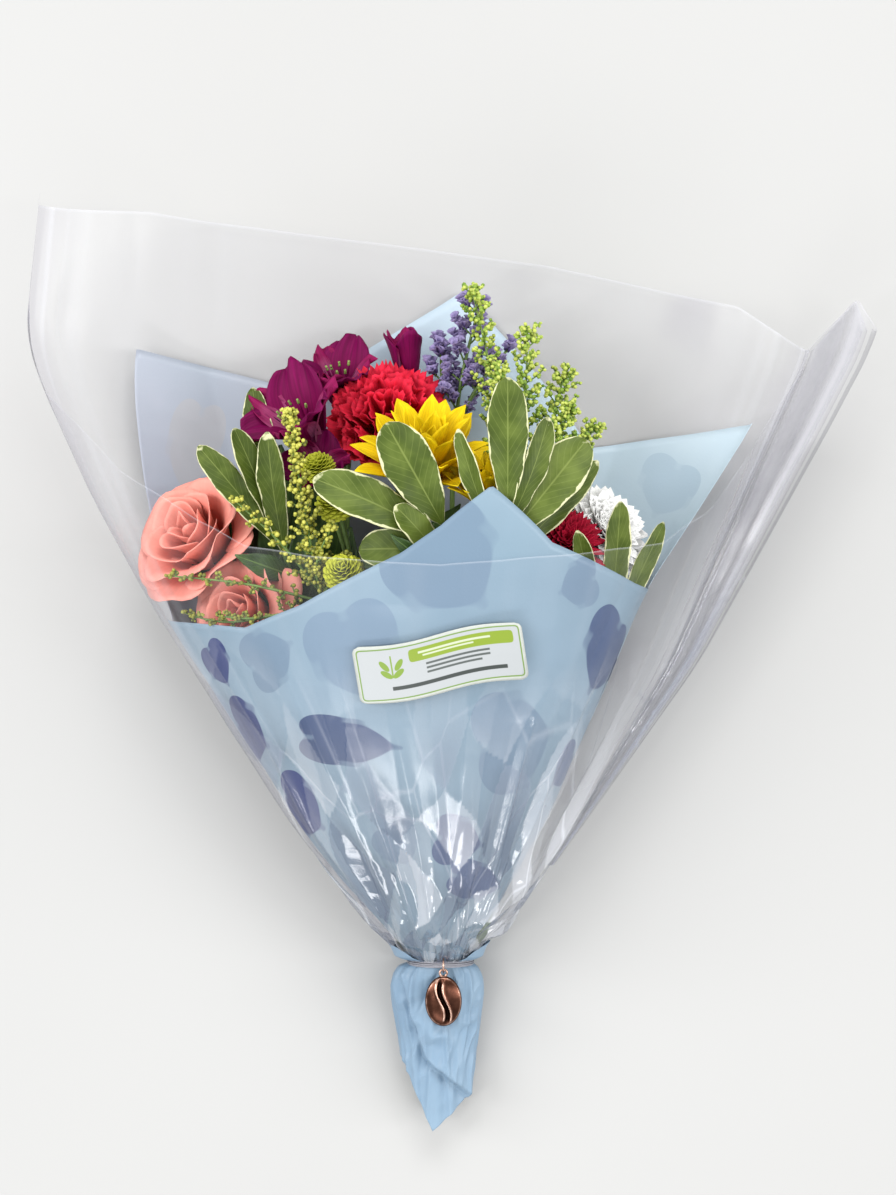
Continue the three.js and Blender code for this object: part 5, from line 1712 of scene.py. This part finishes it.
def goldenrod(name, slot, end, sprays, finish, seed, leaves):
    pick = random.Random(seed)
    shape = new_shape()
    route = stem_route(slot_at(*slot), end)
    stalk(shape, route, STEM_RADIUS * 0.85, STEM_RADIUS * 0.55, 8, 36, 0.5, 1, 0.1)
    for line, reach, sides, buds, size, arch in sprays:
        # The low sprays over the roses take only the darkest pattern.
        add_spray(shape, line, reach, sides, buds, size, pick, arch,
                  GREEN_BUDS if arch > 0 else GREEN_BUDS[:1])
    for i in range(leaves):
        share = 0.5 + 0.45 * i / leaves
        base = smooth_line(route, share)
        swing = (1 if i % 2 else -1) * pick.uniform(0.4, 0.9)
        tip = base + Vector((math.sin(swing), math.cos(swing), 0.3)) * pick.uniform(20, 30)
        tip.z = min(tip.z, headroom(tip.x, tip.y) - 8)
        patch(shape, 4, 10, leaf_place(base, tip, 6, 2, 0, 0.3, 1, 0.8), 0.3, paint=2)
    return new_piece(name + "_sprig", shape, [finish, STALK, DARK_LEAF], [name], wall=0.25,
                     thin=[2])


# Each spray: its middle line, reach, side branches, buds on each, bud size and arch.
RIGHT_SPRAYS = [([(36, 215, 52), (28, 270, 58), (15, 329, 50)], 17, 42, 11, 2.3, 0.35),
                ([(36, 218, 52), (50, 252, 56), (60, 288, 46)], 19, 38, 11, 2.3, 0.3),
                ([(37, 218, 54), (56, 238, 62), (75, 262, 60)], 16, 32, 10, 2.2, 0.3),
                ([(36, 218, 52), (40, 262, 60), (42, 308, 54)], 18, 40, 11, 2.3, 0.35),
                ([(36, 216, 54), (30, 250, 66), (27, 288, 70)], 16, 34, 10, 2.2, 0.35),
                ([(37, 217, 54), (52, 246, 66), (62, 270, 66)], 15, 30, 10, 2.2, 0.3)]
LEFT_SPRAYS = [([(-56, 178, 84), (-64, 222, 96), (-71, 266, 92)], 10, 54, 10, 2.3, 0.25),
               ([(-58, 184, 84), (-76, 206, 90), (-98, 226, 78)], 8, 16, 8, 2.2, 0.1),
               ([(-57, 178, 84), (-92, 186, 84), (-130, 190, 68)], 7, 16, 7, 2.0, 0.0),
               ([(-56, 178, 88), (-50, 190, 97), (-43, 200, 99)], 6, 12, 7, 2.0, 0.0),
               ([(-56, 178, 86), (-58, 196, 94), (-50, 214, 98)], 7, 12, 8, 2.2, 0.3),
               ([(-56, 176, 84), (-98, 168, 80), (-122, 172, 66)], 6, 13, 7, 1.9, 0.0),
               ([(-56, 176, 86), (-86, 170, 90), (-106, 171, 80)], 6, 12, 7, 1.9, 0.0)]
goldenrod("goldenrod_right", (1, 0), (38, 215, 52), RIGHT_SPRAYS,
          bud_finish("light_green_goldenrod_bud", "5F8428", "93AC3C", "C2CE62"), 81, 5)
goldenrod("goldenrod_left", (-1.5, 1), (-58, 180, 84), LEFT_SPRAYS,
          bud_finish("olive_yellow_goldenrod_bud", "565A22", "9C9E34", "C8C658"), 82, 4)

# %% [markdown]
# ## Pittosporum
#
# Four twigs of variegated pittosporum frame the flowers. Its leaves are spoon-shaped, leathery, grey-green
# in soft blotches, with a wavy cream margin and a pale midrib. The margin is drawn from the leaf's own map:
# how far a spot is from the nearest edge, plus a slow wander so that the cream is wider here and narrower
# there.


# %% Edge the leaves with cream
def variegated_finish():
    """A leaf with a cream rim and green middle that meet in ragged blotches, and pale veins."""
    material, add = new_material("variegated_pittosporum_leaf")
    along = add("UVMap", uv_map="along")
    spot = add("SeparateXYZ", {"Vector": along})
    place = add("TexCoord").outputs["Object"]
    tone = add("Attribute", attribute_name="tone").outputs["Fac"]
    blotch = add("TexNoise", {"Vector": place, "Scale": 1 / 0.013, "Detail": 3})
    wander = add("TexNoise", {"Vector": place, "Scale": 1 / 0.005, "Detail": 2})
    mixed = add("Math", {0: tone, 1: 0.4, 2: blotch}, operation="MULTIPLY_ADD")
    green = add("ValToRGB", {"Fac": mixed}, stops=[(0.35, "33430C"), (0.65, "4A5C18"), (1.0, "6E7F34")])
    far, lines = leaf_veins(add, spot, (0.006, 0.028, 0.6), -0.5, 74.0, (0.86, 0.22))
    veined = add("MixRGB", {"Fac": lines, "Color1": green, "Color2": linear("8C9A50")})
    tip = add("Math", {0: spot.outputs["Y"], 1: 0.47}, operation="MULTIPLY")
    edge = add("Math", {0: far, 1: tip}, operation="MAXIMUM")
    near = add("Math", {0: wander, 1: 0.16, 2: edge}, operation="MULTIPLY_ADD")
    cream = add("MapRange", {"Value": near, "From Min": 0.54, "From Max": 0.56})
    colour = add("MixRGB", {"Fac": cream, "Color1": veined, "Color2": linear("E3E3B4")})
    relief = add("Bump", {"Height": lines, "Strength": 0.3, "Distance": 0.0004})
    wax = add("MapRange", {"Value": blotch, "To Min": 0.4, "To Max": 0.55})
    skin = add("BsdfPrincipled", {"Base Color": colour, "Roughness": wax, "Normal": relief,
                                  "Specular IOR Level": 0.3})
    through = add("BsdfTranslucent", {"Color": colour})
    leaf = add("MixShader", {0: 0.14, 1: skin, 2: through})
    add("OutputMaterial", {"Surface": leaf})
    return material


VARIEGATED = variegated_finish()
# Each twig: its slot, its end, and its leaves, with each one's tip, width, bend and roll.
TWIGS = {
    "twig_centre": ((0, 2), (2, 212, 108), [((-25, 260, 117), 24, 3, 0), ((-59, 235, 104), 21, 4, 15),
                                            ((-38, 202, 102), 19, 3, 10), ((-21, 222, 116), 14, 2, 20)]),
    "twig_right": ((1, 2), (31, 216, 115.5), [((31, 281, 118), 19, 3, 0), ((50, 263, 113), 13, 3, 25),
                                              ((68, 253, 104), 23, 3, 0), ((8, 257, 122), 10, 2, -30),
                                              ((74, 244, 88), 12, 2, 20)]),
    "twig_left": ((-1, 0), (-80, 214, 64), [((-91, 281, 50), 14, 2, 0), ((-98, 260, 76), 13, 2, 20),
                                            ((-116, 252, 66), 14, 3, 10), ((-82, 258, 80), 14, 3, -15)]),
    "twig_low_right": ((2, 0), (80, 160, 62), [((85, 225, 82), 13, 2, 8), ((64, 211, 98), 11, 2, 0),
                                               ((108, 216, 48), 10, 1, 10)]),
}

for twig_seed, (twig, (twig_slot, twig_end, leaves)) in enumerate(TWIGS.items()):
    pick = random.Random(90 + twig_seed)
    end = Vector(twig_end)
    route = stem_route(slot_at(*twig_slot), end)
    stem_shape = new_shape()
    stalk(stem_shape, route, STEM_RADIUS * 0.9, STEM_RADIUS * 0.55, 8, 40, 0.5, 0, 0.1)
    add_foliage(stem_shape, route, 11, 95 + twig_seed, 0.5)
    for leaf_number, (tip, width, bend, roll) in enumerate(leaves, 1):
        tip = Vector(tip)
        way_back = (route[-2] - end).normalized()
        base = end + way_back * (6 * (leaf_number - 1))
        root = base + (tip - base).normalized() * 1.2
        stalk(stem_shape, [base, (base + root) / 2, root], 0.9, 0.7, 6, 5, 0.5, 0)
        leaf_shape = new_shape()
        leaf = leaf_place(base + (tip - base).normalized() * 1.2, tip, width, bend + 1, roll, 0.8,
                          phase=pick.uniform(0, 6), spoon=True)
        patch(leaf_shape, 14, 26, leaf, pick.uniform(0.4, 0.9) - 0.5 * (twig == "twig_left"))
        new_piece(f"{twig}_leaf_{leaf_number}_blade", leaf_shape, [VARIEGATED],
                  [f"{twig}_leaf_{leaf_number}"], wall=0.4)
    new_piece(f"{twig}_stem_wood", stem_shape, [STALK, DARK_LEAF], [f"{twig}_stem"], wall=0.3,
              thin=[1])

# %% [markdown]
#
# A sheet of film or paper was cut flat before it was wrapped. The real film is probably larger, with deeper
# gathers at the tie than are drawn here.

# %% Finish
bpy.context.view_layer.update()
